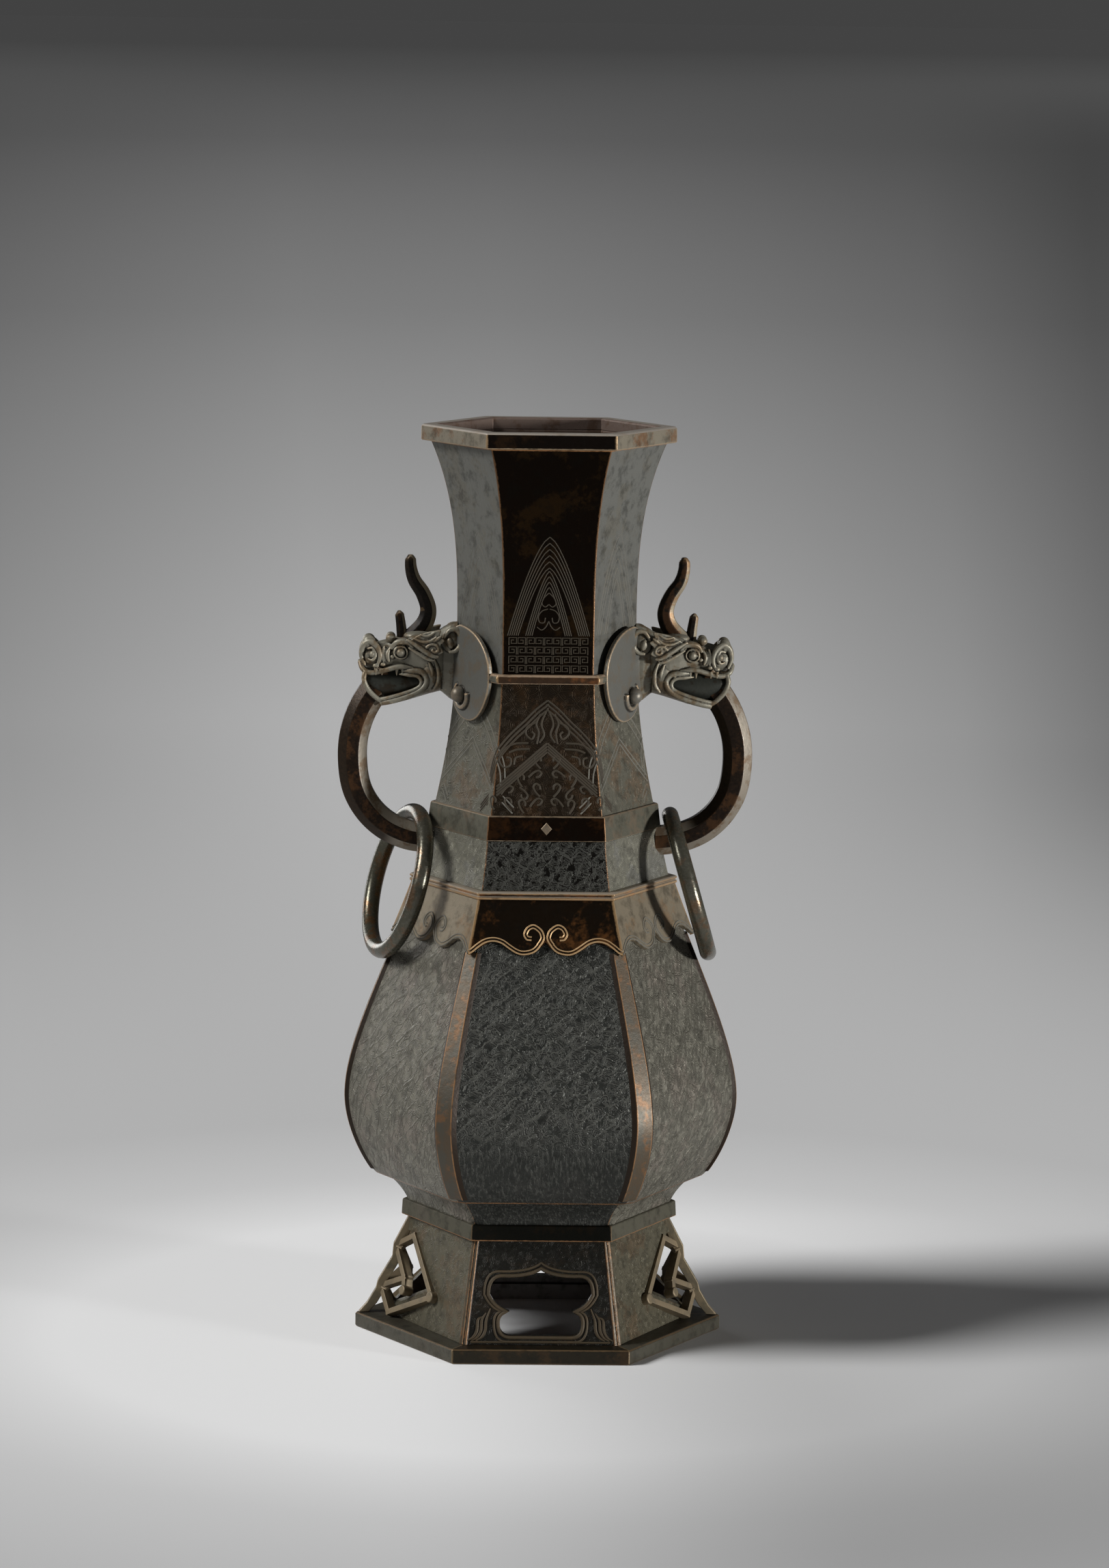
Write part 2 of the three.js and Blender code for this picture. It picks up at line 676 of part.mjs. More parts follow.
// A tapering bar along a curve in the XZ plane, eight-sided, with half sizes given by share
function taperedBar(points, steps, halfDeep, halfWide, centreY = 0) {
  const curve = new THREE.CatmullRomCurve3(points.map(([x, z]) => new THREE.Vector3(x, 0, z)));
  const rings = spread(0, 1, steps).map((share) => {
    const centre = curve.getPoint(share);
    const tangent = curve.getTangent(share);
    const across = new THREE.Vector3(tangent.z, 0, -tangent.x);
    return Array.from({ length: 8 }, (unused, side) => {
      const angle = (side + 0.5) * Math.PI / 4;
      return centre.clone()
        .addScaledVector(across, halfDeep(share) * Math.cos(angle))
        .add(new THREE.Vector3(0, centreY + halfWide(share) * Math.sin(angle), 0));
    });
  });
  return solid(skin(rings, false));
}

// A lofted mass along X. Each station is [x, bottom, top, half width].
function headMass(stations, grow, sides = 12) {
  const rings = stations.map(([x, bottom, top, half]) => Array.from({ length: sides },
    (unused, side) => {
      const angle = side / sides * 2 * Math.PI;
      const round = (value) => Math.sign(value) * Math.abs(value) ** 0.8;
      const middle = (bottom + top) / 2;
      return new THREE.Vector3(
        x,
        (half + grow) * round(Math.cos(angle)),
        middle + ((top - bottom) / 2 + grow) * round(Math.sin(angle)),
      );
    }));
  return solid(skin(rings, false));
}

// The head is drawn from its root on the neck and from the handle's widest level
const headScale = headLength / 48;
const headX = (x) => headRootX + x * headScale;
const headZ = (z) => handleHeight + z * headScale;
const headPoints = (points) => points.map(([x, z]) => [headX(x), headZ(z)]);
const headStations = (stations) => stations.map(([x, bottom, top, half]) => (
  [headX(x), headZ(bottom), headZ(top), half * headScale]
));

function skull(grow) {
  return headMass(headStations([
    [-4, 28, 69, 8.5], [3, 29, 68.5, 9], [9, 32, 66.5, 9.6], [15, 36, 64.5, 10.2],
    [21, 41, 63.5, 10.4], [27, 43.5, 63, 9.6], [33, 44, 61.5, 8.4], [38, 44.5, 60.5, 8.2],
    [42.5, 45.5, 62.3, 8.6], [46, 47.5, 60.5, 7.2], [48, 50.5, 57.5, 4],
  ]), grow);
}

function jaw() {
  return headMass(headStations([
    [7, 32, 44, 8], [15, 32.3, 43, 9.4], [21, 31, 41, 9], [27, 29, 37, 8.2],
    [32, 27.2, 33, 7], [36, 26.8, 30, 4.6],
  ]), 0);
}

function ball(x, y, z, radius, stretch = [1, 1, 1]) {
  const geometry = new THREE.SphereGeometry(radius * headScale, 8, 6);
  geometry.scale(...stretch);
  geometry.translate(headX(x), y * headScale, headZ(z));
  return solid(geometry);
}

function tooth(x, y, z, length) {
  const geometry = new THREE.ConeGeometry(1.1 * headScale, length * headScale, 6);
  geometry.rotateX(-Math.PI / 2);
  geometry.translate(headX(x), y * headScale, headZ(z - length / 2));
  return solid(geometry);
}

function dragonHead() {
  const pieces = [skull(0), jaw()];
  const brow = headPoints([[9, 52], [17, 54], [23, 58.5], [30, 58.5]]);
  const nose = headPoints([[38, 59], [43, 62.2], [46.3, 60], [47.8, 54.5]]);
  const size = (value) => () => value * headScale;
  for (const side of [-1, 1]) {
    pieces.push(ball(27, side * 8.4, 54, 3.2));
    pieces.push(ball(42, side * 7.2, 53.5, 3.6, [1, 0.8, 1]));
    pieces.push(taperedBar(brow, 8, size(1.7), size(2.4), side * 8.6 * headScale));
    for (const reach of [23, 27.5, 39]) pieces.push(tooth(reach, side * 6, 48, 6.4));
  }
  pieces.push(taperedBar(nose, 8, size(2), size(5)));
  return union(pieces).subtract(handleBar(play)).subtract(upperEnvelope(play));
}

// Horn and the short tine in front of it, on one base that follows the crown of the head
function dragonHorn() {
  const horn = taperedBar(headPoints([
    [25.5, 59], [20.5, 63.5], [16, 69], [14.5, 75.5], [17.4, 83], [21.6, 89.5], [23.3, 95.5],
    [23.4, 101],
  ]), 20,
  (share) => (5 - 2.6 * share) * headScale, (share) => hornThickness / 2 * (1 - 0.25 * share));
  const tine = taperedBar(headPoints([[27.5, 59], [28.4, 64], [28.8, 70], [28.2, 76]]), 8,
    (share) => (3 - 1.7 * share) * headScale, () => hornThickness / 2);
  return union([horn, tine]).subtract(skull(play));
}

// Ear-shaped plate beside the dragon's neck, standing a little off the side face of the vase
function ruff(facing) {
  const shape = new THREE.Shape();
  shape.moveTo(6, 56);
  shape.quadraticCurveTo(6, 69, 14, 69.4);
  shape.bezierCurveTo(30, 68.5, 41.5, 59, 41.6, 47);
  shape.bezierCurveTo(41.6, 36, 33, 23.4, 22, 23.2);
  shape.bezierCurveTo(12, 23.2, 8, 29, 6, 34);
  shape.closePath();
  const plate = new THREE.ExtrudeGeometry(shape, {
    depth: ruffThickness / headScale, bevelEnabled: false, curveSegments: 8,
  });
  const face = ruffThickness / headScale;
  const boss = new THREE.SphereGeometry(ruffKnobRadius / headScale, 10, 8);
  boss.translate(16, 35.5, face);
  const lobe = new THREE.SphereGeometry(3, 8, 6);
  lobe.scale(1, 2.2, 1.1);
  lobe.translate(13, 57.5, face);
  const reach = (ruffStandoff + 1) / headScale;
  const spacer = new THREE.BoxGeometry(10, 14, reach);
  spacer.translate(14, 49, 0.5 - reach / 2);
  const flatOffset = neckRadius * cos30 + ruffStandoff;
  const out = new THREE.Vector3(Math.cos(rad(30)), facing * Math.sin(rad(30)), 0);
  const along = new THREE.Vector3(-Math.sin(rad(30)), facing * Math.cos(rad(30)), 0);
  const up = new THREE.Vector3(0, 0, 1);
  const start = new THREE.Vector3(atCorner(flatOffset), 0, handleHeight);
  const place = new THREE.Matrix4().makeBasis(along, up, out)
    .scale(new THREE.Vector3(headScale, headScale, headScale)).setPosition(start);
  const bodies = [plate, boss, lobe, spacer].map((geometry) => (
    solid(geometry.applyMatrix4(place))
  ));
  return union(bodies).subtract(skull(play)).subtract(upperEnvelope(play))
    .subtract(jawClearance());
}

// The root of the jaw keeps clear of the plates
function jawClearance() {
  return headMass(headStations([[-1, 30, 46, 8.4], [15, 30.5, 45, 10]]), play);
}

// Ring hanging on the handle's lower end, its foot leaning on the belly
function looseRing(turn) {
  const geometry = new THREE.TorusGeometry(ringRadius, ringBar, 10, 32);
  geometry.rotateX(Math.PI / 2);
  geometry.rotateZ(Math.PI / 2 + turn);
  return geometry;
}

// The ring hangs on top of the bar, and leans out until its foot clears the belly's corner
const ringHangReach = shoulderTopRadius + ringHangOffset;
const ringHangHeight = handleFoot + barDepth / 2 + ringBar + ringHangPlay;

function restingLean() {
  const levels = spread(0, 1, 500);
  return levels.find((lean) => {
    const footReach = ringHangReach + 2 * ringRadius * Math.sin(lean);
    const footHeight = ringHangHeight - 2 * ringRadius * Math.cos(lean);
    return footReach - ringBar - ringRestGap > bellyRadiusAt(footHeight);
  });
}

const ringLean = restingLean();

function piece(name, body, finish) {
  const geometry = body instanceof wasm.Manifold ? geometryOf(body) : body;
  const mesh = new THREE.Mesh(geometry, new THREE.MeshStandardMaterial(finish));
  mesh.name = name;
  return mesh;
}

const vase = new THREE.Group();
vase.add(
  piece('base_plate', basePlate(), greyBronze),
  piece('foot_wall', footWall(), darkBronze),
  piece('waist_flange', waistFlange(), greyBronze),
  piece('belly', belly(), darkBronze),
  piece('belly_floor', bellyFloor(), darkBronze),
  piece('lappet_collar', lappetCollar(), brownBronze),
  piece('shoulder_ledge', shoulderLedge(), lipBronze),
  piece('shoulder', shoulder(), darkBronze),
  piece('neck_band', neckBand(), brownBronze),
  piece('lower_neck', lowerNeck(), darkBronze),
  piece('neck_string', neckString(), lipBronze),
  piece('upper_neck', upperNeck(), greyBronze),
  piece('mouth_rim', mouthRim(), lipBronze),
);

// Everything at one corner is made for the right side and turned half round for the left
for (const [side, turn] of [['right', 0], ['left', Math.PI]]) {
  const near = side === 'right' ? 'front' : 'back';
  const far = side === 'right' ? 'back' : 'front';
  const corner = new THREE.Group();
  corner.rotation.z = turn;
  corner.add(
    piece(`corner_fret_${side}`, cornerFret(), greyBronze),
    piece(`handle_loop_${side}`, handleLoop(), brownBronze),
    piece(`dragon_head_${side}`, dragonHead(), brownBronze),
    piece(`dragon_horn_${side}`, dragonHorn(), brownBronze),
    piece(`ruff_${side}_${near}`, ruff(-1), greyBronze),
    piece(`ruff_${side}_${far}`, ruff(1), greyBronze),
  );
  const ring = piece(`ring_${side}`, looseRing(side === 'left' ? leftRingTurn : 0), darkBronze);
  ring.position.set(
    ringHangReach + ringRadius * Math.sin(ringLean), 0,
    ringHangHeight - ringRadius * Math.cos(ringLean),
  );
  ring.rotation.y = -ringLean;
  corner.add(ring);
  vase.add(corner);
}

export default vase;
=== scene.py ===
import math

import bpy
from mathutils import Matrix, Vector


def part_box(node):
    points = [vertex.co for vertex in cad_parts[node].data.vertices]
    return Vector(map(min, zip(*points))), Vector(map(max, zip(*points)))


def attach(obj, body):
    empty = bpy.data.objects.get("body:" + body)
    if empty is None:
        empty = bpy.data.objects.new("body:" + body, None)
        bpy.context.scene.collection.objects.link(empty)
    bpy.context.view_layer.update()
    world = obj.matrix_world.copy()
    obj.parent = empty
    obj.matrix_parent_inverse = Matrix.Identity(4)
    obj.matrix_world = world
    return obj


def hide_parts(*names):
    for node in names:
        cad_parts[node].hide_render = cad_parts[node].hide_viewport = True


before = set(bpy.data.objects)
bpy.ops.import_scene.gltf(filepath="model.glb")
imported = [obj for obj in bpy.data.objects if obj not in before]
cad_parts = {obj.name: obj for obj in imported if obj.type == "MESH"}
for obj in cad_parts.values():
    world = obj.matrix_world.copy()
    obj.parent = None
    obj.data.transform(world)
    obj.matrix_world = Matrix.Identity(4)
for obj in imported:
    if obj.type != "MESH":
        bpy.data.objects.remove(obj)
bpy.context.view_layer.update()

# Pieces are modelled in millimetres and scaled to metres when they are settled on the vase.
MM = 0.001
COS30 = math.cos(math.pi / 6)
TAN30 = math.tan(math.pi / 6)

# Heights of the sections, as the frame has them
PLATE_TOP = 7.6
FOOT_TOP = 57.5
FLANGE_TOP = 65.5
BELLY_LIP = 80.2
BELLY_WIDEST = 119.0
COLLAR_TOP = 225.0
LEDGE_TOP = 229.0
BAND_FOOT = 252.7
BAND_TOP = 264.8
STRING_FOOT = 328.0
STRING_TOP = 332.5
LIP_FOOT = 442.0
VASE_TOP = 449.98
# The upper neck is straight up to here
NECK_FLARE = 350.02

# Measured out to a corner
BELLY_RADIUS = 98.3
NECK_RADIUS = 43.9
WALL = 3.93

# The way each face looks, in degrees
FRONT, BACK = -90, 90
SIDES = (-30, 30, 150, 210)
FACES = (FRONT, BACK) + SIDES
# The left side is the right one turned half round
HANDS = (("right", 0), ("left", 180))


# Profiles of the six-sided walls: corner radius by height

def mix(a, b, share):
    return a + (b - a) * share


def steps(start, end, count):
    return [mix(start, end, n / count) for n in range(count + 1)]


def bezier(points, share):
    while len(points) > 1:
        points = [tuple(mix(p, q, share) for p, q in zip(a, b)) for a, b in zip(points, points[1:])]
    return points[0]


BELLY_UPPER = [(62.3, COLLAR_TOP), (75.98, 186.84), (BELLY_RADIUS, 144.97),
               (BELLY_RADIUS, BELLY_WIDEST)]
BELLY_LOWER = [(BELLY_RADIUS, BELLY_WIDEST), (BELLY_RADIUS, 105.03), (91.007, 89.12),
               (84.0, BELLY_LIP)]
COVE = [(78.0, 78.8), (70.1, 73.15), (66.6, FLANGE_TOP)]


def belly_profile():
    upper = [bezier(BELLY_UPPER, n / 30) for n in range(31)]
    lower = [bezier(BELLY_LOWER, n / 16) for n in range(1, 17)]
    return [*reversed(lower), *reversed(upper)]


def radius_at(profile, height):
    for (r0, z0), (r1, z1) in zip(profile, profile[1:]):
        if z0 <= height <= z1 and z1 > z0:
            return mix(r0, r1, (height - z0) / (z1 - z0))
    return profile[0][0] if height < profile[0][1] else profile[-1][0]


def lower_neck_radius(z):
    share = min(1, max(0, (z - BAND_TOP) / (STRING_FOOT - BAND_TOP)))
    return 44.8 + 8.8 * (1 - share) ** 1.6


def upper_neck_radius(z):
    share = max(0, (z - NECK_FLARE) / (LIP_FOOT - NECK_FLARE))
    return NECK_RADIUS + 13.7 * share ** 3


def shoulder_radius(z):
    return 57 + 4.6 * (1 - (z - LEDGE_TOP) / (BAND_FOOT - LEDGE_TOP)) ** 1.3


def foot_radius(z):
    return 76 - 11.5 * (z - PLATE_TOP) / (FOOT_TOP - PLATE_TOP)


BELLY_SHAPE = belly_profile()


def belly_radius(z):
    return radius_at(BELLY_SHAPE, z)


def on_wall(face, across, height, radius, lift=0.0):
    """A point on a six-sided wall: across a face and up it.
    Past a corner it goes on round the next face."""
    flat = radius(height) * COS30 + lift
    half = flat * TAN30
    while abs(across) > half:
        turn = 60 if across > 0 else -60
        across -= math.copysign(2 * half, across)
        face += turn
    angle = math.radians(face)
    out = Vector((math.cos(angle), math.sin(angle), 0))
    along = Vector((-math.sin(angle), math.cos(angle), 0))
    return out * flat + along * across + Vector((0, 0, height))


# Modelling

def clear_bench():
    if bpy.context.object and bpy.context.object.mode != "OBJECT":
        bpy.ops.object.mode_set(mode="OBJECT")
    bpy.ops.object.select_all(action="DESELECT")


def pick(*pieces):
    clear_bench()
    for piece in pieces:
        piece.select_set(True)
    bpy.context.view_layer.objects.active = pieces[0]
    return pieces[0]


def edit(piece):
    """Opens a mesh for editing with all of it selected."""
    pick(piece)
    bpy.ops.object.mode_set(mode="EDIT")
    bpy.ops.mesh.select_all(action="SELECT")


def leave_facing_out():
    """Ends the editing with every face pointing outwards."""
    bpy.ops.mesh.select_all(action="SELECT")
    bpy.ops.mesh.normals_make_consistent(inside=False)
    bpy.ops.object.mode_set(mode="OBJECT")


def named(name):
    piece = bpy.context.object
    piece.name = name
    piece.data.name = name
    bpy.ops.object.transform_apply(location=True, rotation=True, scale=True)
    return piece


def apply_all(piece):
    pick(piece)
    for modifier in list(piece.modifiers):
        bpy.ops.object.modifier_apply(modifier=modifier.name)
    return piece


def face_out(piece):
    edit(piece)
    leave_facing_out()
    return piece


def soften(piece, width, segments=2, angle=35):
    bevel = piece.modifiers.new("soft_edges", "BEVEL")
    bevel.width = width
    bevel.segments = segments
    bevel.limit_method = "ANGLE"
    bevel.angle_limit = math.radians(angle)
    bevel.harden_normals = False
    return apply_all(piece)


def smooth(piece, angle=30):
    pick(piece)
    bpy.ops.object.shade_smooth_by_angle(angle=math.radians(angle))
    return piece


def weld(name, pieces):
    """Joins several meshes into one piece."""
    piece = pick(*pieces)
    bpy.ops.object.join()
    piece = bpy.context.object
    piece.name = name
    piece.data.name = name
    return piece


def recast(piece, voxel, passes=4):
    """Melts overlapping lumps into one cast skin."""
    pick(piece)
    piece.data.remesh_voxel_size = voxel
    bpy.ops.object.voxel_remesh()
    relax = piece.modifiers.new("relax", "SMOOTH")
    relax.factor = 0.5
    relax.iterations = passes
    return apply_all(piece)


def copy_of(piece, name):
    twin = piece.copy()
    twin.data = piece.data.copy()
    bpy.context.scene.collection.objects.link(twin)
    twin.name = name
    twin.data.name = name
    return twin


def turned(piece, degrees):
    piece.data.transform(Matrix.Rotation(math.radians(degrees), 4, "Z"))
    return piece


def extrude_through(profile):
    """Extrudes the selected ring through a list of corner radii and heights."""
    radius, height = profile[0]
    for next_radius, next_height in profile[1:]:
        bpy.ops.mesh.extrude_region_move(
            TRANSFORM_OT_translate={"value": (0, 0, next_height - height)})
        share = next_radius / radius
        bpy.ops.transform.resize(value=(share, share, 1), center_override=(0, 0, next_height))
        radius, height = next_radius, next_height


def close_section():
    bpy.ops.mesh.select_all(action="DESELECT")
    bpy.ops.mesh.select_non_manifold()
    bpy.ops.mesh.bridge_edge_loops()
    leave_facing_out()


def hexagon(name, radius, height, corner_cut=0.0):
    """A ring of six edges with corners on the X axis, left open for editing.
    Its corners may be cut flat."""
    clear_bench()
    bpy.ops.mesh.primitive_circle_add(
        vertices=6, radius=radius, location=(0, 0, height), rotation=(0, 0, math.radians(30)))
    piece = named(name)
    edit(piece)
    if corner_cut:
        bpy.ops.mesh.bevel(offset=corner_cut / COS30, affect="VERTICES")
        bpy.ops.mesh.select_all(action="SELECT")
    return piece


def hex_wall(name, outside, inside, corner_cut=0.0):
    """A six-sided wall between two profiles, both listed upwards."""
    piece = hexagon(name, *outside[0], corner_cut)
    extrude_through(outside + inside[::-1])
    close_section()
    return piece


def sweep(name, corners, stations, turn=0.0):
    """A bar along a path in the XZ plane, extruded step by step.
    Each station is x, z, half depth in the plane, half width along Y and the bar's direction."""
    x, z, deep, wide, heading = stations[0]
    clear_bench()
    bpy.ops.mesh.primitive_circle_add(
        vertices=corners, radius=1, fill_type="NGON", rotation=(0, 0, math.radians(turn)))
    piece = named(name)
    piece.data.transform(Matrix.Diagonal((deep, wide, 1, 1)))
    piece.data.transform(Matrix.Rotation(heading, 4, "Y"))
    piece.data.transform(Matrix.Translation((x, 0, z)))
    edit(piece)
    for next_x, next_z, next_deep, next_wide, next_heading in stations[1:]:
        bpy.ops.mesh.extrude_region_move(
            TRANSFORM_OT_translate={"value": (next_x - x, 0, next_z - z)})
        spot = (next_x, 0, next_z)
        if abs(next_heading - heading) > 1e-6:
            bpy.ops.transform.rotate(value=heading - next_heading, orient_axis="Y",
                                     orient_type="GLOBAL", center_override=spot)
        bpy.ops.transform.resize(
            value=(next_deep / deep, next_wide / wide, next_deep / deep), center_override=spot)
        x, z, deep, wide, heading = next_x, next_z, next_deep, next_wide, next_heading
    leave_facing_out()
    return piece


def path_stations(line, count, deep, wide):
    """Stations along a smooth line: deep and wide are half sizes by share of its length."""
    points = spline_through([(x, 0, z) for x, z in line], count)
    stations = []
    for number, point in enumerate(points):
        step = points[min(number + 1, len(points) - 1)] - points[max(number - 1, 0)]
        share = number / (len(points) - 1)
        stations.append((point.x, point.z, deep(share), wide(share), math.atan2(step.x, step.z)))
    return stations


def loft(name, sections, sides=20):
    """A rounded mass along X. Each section is its reach, bottom, top and half width."""
    return sweep(name, sides, [(x, (low + high) / 2, (high - low) / 2, half, math.pi / 2)
                               for x, low, high, half in sections])


def plate_from(name, outline, thickness, edge=0.0):
    """A flat plate in X and Z with this outline, its middle on Y = 0 and its edges rounded."""
    curve = bpy.data.curves.new(name, "CURVE")
    curve.dimensions = "2D"
    curve.fill_mode = "BOTH"
    curve.extrude = thickness / 2 - edge
    curve.bevel_depth = edge
    curve.offset = -edge
    curve.bevel_resolution = 2
    spline = curve.splines.new("POLY")
    spline.points.add(len(outline) - 1)
    for number, (x, z) in enumerate(outline):
        spline.points[number].co = (x, z, 0, 1)
    spline.use_cyclic_u = True
    piece = bpy.data.objects.new(name, curve)
    bpy.context.scene.collection.objects.link(piece)
    pick(piece)
    piece.rotation_euler = (math.pi / 2, 0, 0)
    bpy.ops.object.convert(target="MESH")
    piece = named(name)
    edit(piece)
    bpy.ops.mesh.remove_doubles(threshold=0.0005)
    leave_facing_out()
    return piece


def offset_line(line, distance):
    """A line in X and Z moved sideways, to the left of its direction."""
    moved = []
    for number, (x, z) in enumerate(line):
        before = line[max(number - 1, 0)]
        after = line[min(number + 1, len(line) - 1)]
        along = Vector((after[0] - before[0], after[1] - before[1])).normalized()
        moved.append((x - along.y * distance, z + along.x * distance))
    return moved


def flat_spline(points, count=6):
    return [(p.x, p.z) for p in spline_through([(x, 0, z) for x, z in points], count)]


def bead(name, points, radius, closed=False, sides=2, taper=None):
    """A round raised line through a list of points."""
    curve = bpy.data.curves.new(name, "CURVE")
    curve.dimensions = "3D"
    curve.bevel_depth = radius
    curve.bevel_resolution = sides
    curve.use_fill_caps = not closed
    spline = curve.splines.new("POLY")
    spline.points.add(len(points) - 1)
    for number, point in enumerate(points):
        spline.points[number].co = (*point, 1)
        if taper:
            spline.points[number].radius = taper(number / (len(points) - 1))
    spline.use_cyclic_u = closed
    piece = bpy.data.objects.new(name, curve)
    bpy.context.scene.collection.objects.link(piece)
    pick(piece)
    bpy.ops.object.convert(target="MESH")
    return bpy.context.object


def lump(name, centre, size, turn=(0, 0, 0), segments=20, rings=12):
    """A rounded lump, the size given by its three half lengths."""
    clear_bench()
    bpy.ops.mesh.primitive_uv_sphere_add(
        segments=segments, ring_count=rings, radius=1, location=centre,
        rotation=[math.radians(angle) for angle in turn], scale=size)
    return named(name)


def spline_through(points, count):
    """A smooth line through a few points, as a list of many."""
    points = [Vector(p) for p in points]
    ends = [points[0] * 2 - points[1], *points, points[-1] * 2 - points[-2]]
    line = []
    for n in range(len(points) - 1):
        a, b, c, d = ends[n:n + 4]
        for part in range(count):
            t = part / count
            line.append(0.5 * ((2 * b) + (c - a) * t + (2 * a - 5 * b + 4 * c - d) * t * t
                               + (3 * b - a - 3 * c + d) * t ** 3))
    return [*line, points[-1]]


def settle(piece, finish, nodes=(), body="vase", inner=None, joins=30):
    """Gives a finished piece its material, scales it to metres and puts it on its body."""
    smooth(piece, joins)
    even = piece.modifiers.new("even_facets", "WEIGHTED_NORMAL")
    even.keep_sharp = True
    apply_all(piece)
    piece.data.materials.clear()
    piece.data.materials.append(finish)
    if inner:
        piece.data.materials.append(inner)
        for face in piece.data.polygons:
            out = Vector((face.center.x, face.center.y, 0)).normalized()
            face.material_index = int(face.normal.dot(out) < -0.3)
    piece.data.transform(Matrix.Scale(MM, 4))
    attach(piece, body)
    if nodes:
        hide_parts(*([nodes] if isinstance(nodes, str) else nodes))
    return piece


# Shader maths

class Reading:
    """A value on its way through a material. Maths on readings adds Math nodes."""

    def __init__(self, bench, socket):
        self.bench = bench
        self.socket = socket

    def maths(self, operation, *others):
        values = {n: value for n, value in enumerate((self, *others))}
        return self.bench.node("ShaderNodeMath", {"operation": operation}, values)

    def swapped(self, operation, other):
        return self.bench.node("ShaderNodeMath", {"operation": operation}, {0: other, 1: self})

    def __add__(self, other):
        return self.maths("ADD", other)

    def __radd__(self, other):
        return self.maths("ADD", other)

    def __sub__(self, other):
        return self.maths("SUBTRACT", other)

    def __rsub__(self, other):
        return self.swapped("SUBTRACT", other)

    def __mul__(self, other):
        return self.maths("MULTIPLY", other)

    def __rmul__(self, other):
        return self.maths("MULTIPLY", other)

    def __truediv__(self, other):
        return self.maths("DIVIDE", other)

    def __pow__(self, other):
        return self.maths("POWER", other)

    def size(self):
        return self.maths("ABSOLUTE")

    def floor(self):
        return self.maths("FLOOR")

    def fraction(self):
        return self.maths("FRACT")

    def most(self, other):
        return self.maths("MAXIMUM", other)


class Bench:
    """One material, or the air of the studio, and the only place where its nodes are made."""

    def __init__(self, name, kind=bpy.data.materials, shader="Principled BSDF"):
        self.material = kind.new(name)
        self.material.use_nodes = True
        self.tree = self.material.node_tree
        self.shader = self.tree.nodes[shader]

    def node(self, kind, settings=None, values=None, output=0):
        made = self.tree.nodes.new(kind)
        for key, setting in (settings or {}).items():
            if key == "stops":
                for number, (place, colour) in enumerate(setting):
                    while len(made.color_ramp.elements) <= number:
                        made.color_ramp.elements.new(place)
                    made.color_ramp.elements[number].position = place
                    made.color_ramp.elements[number].color = colour
            else:
                setattr(made, key, setting)
        for key, value in (values or {}).items():
            if isinstance(value, Reading):
                self.tree.links.new(value.socket, made.inputs[key])
            else:
                made.inputs[key].default_value = value
        return Reading(self, made.outputs[output])

    def ramp(self, value, low, high, start=0.0, end=1.0):
        """A soft step from start to end as a value goes from low to high."""
        return self.node("ShaderNodeMapRange", {"interpolation_type": "SMOOTHSTEP"}, {
            "Value": value, "From Min": low, "From Max": high, "To Min": start, "To Max": end})

    def tint(self, share, first, second):
        """A colour between two others."""
        return self.node("ShaderNodeMix", {"data_type": "RGBA"}, {0: share, 6: first, 7: second},
                         output=2)

    def part(self, vector, axis):
        return self.node("ShaderNodeSeparateXYZ", None, {0: vector}, output=axis)

    def normal(self, axis):
        """One part of the direction that the surface looks in."""
        return self.part(self.node("ShaderNodeNewGeometry", output="Normal"), axis)

    def greys(self, share, tones):
        """A grey that runs through the given tones, each at its place from 0 to 1."""
        stops = [(place, (tone, tone, tone, 1)) for place, tone in tones]
        return self.node("ShaderNodeValToRGB", {"stops": stops}, {0: share})

    def place(self, stretch=(1, 1, 1), shift=(0, 0, 0)):
        """Object coordinates in millimetres."""
        found = self.node("ShaderNodeTexCoord", output="Object")
        size = [share / MM for share in stretch]
        return self.node("ShaderNodeMapping", None, {0: found, 1: shift, 3: size})

    def noise(self, where, size, detail=3.0, rough=0.55):
        return self.node("ShaderNodeTexNoise", None, {
            "Vector": where, "Scale": 1 / size, "Detail": detail, "Roughness": rough})

    def finish(self, colour, roughness, metallic, height=None, specular=0.3):
        """Joins what varies to the shader, and gives back the material."""
        for name, value in (("Base Color", colour), ("Roughness", roughness),
                            ("Metallic", metallic)):
            if isinstance(value, Reading):
                self.tree.links.new(value.socket, self.shader.inputs[name])
            else:
                self.shader.inputs[name].default_value = value
        self.shader.inputs["Specular IOR Level"].default_value = specular
        if height is not None:
            bump = self.node("ShaderNodeBump", None, {
                "Height": height, "Distance": MM, "Strength": 1.0})
            self.tree.links.new(bump.socket, self.shader.inputs["Normal"])
        return self.material


class HexPlace:
    """Where a point lies on a six-sided wall, read from Object coordinates in millimetres."""

    def __init__(self, bench):
        where = bench.place()
        x, y, self.height = (bench.part(where, axis) for axis in range(3))
        angle = y.maths("ARCTAN2", x)
        sector = (angle / (math.pi / 3)).floor() + 0.5
        turn = angle - sector * (math.pi / 3)
        reach = (x * x + y * y) ** 0.5
        flat = reach * turn.maths("COSINE")
        self.across = reach * turn.maths("SINE")
        self.sector = sector
        self.edge = flat * TAN30 - self.across.size()
        # One on the front and back faces, nothing on the four sides
        self.front = sector.size().maths("COMPARE", 1.5, 0.2)


def spot_on(bench, wall, shake, size, seed):
    """Across and up on a wall, shaken a little so that lines run as if cut by hand."""
    sway = bench.noise(bench.place(shift=(seed, 0, 0)), size, 2) - 0.5
    lift = bench.noise(bench.place(shift=(0, seed + 7, 3)), size, 2) - 0.5
    return wall.across + wall.sector * 61 + sway * shake, wall.height + lift * shake


def turn_by(across, up, slant):
    c, s = math.cos(math.radians(slant)), math.sin(math.radians(slant))
    return across * c + up * s, up * c - across * s


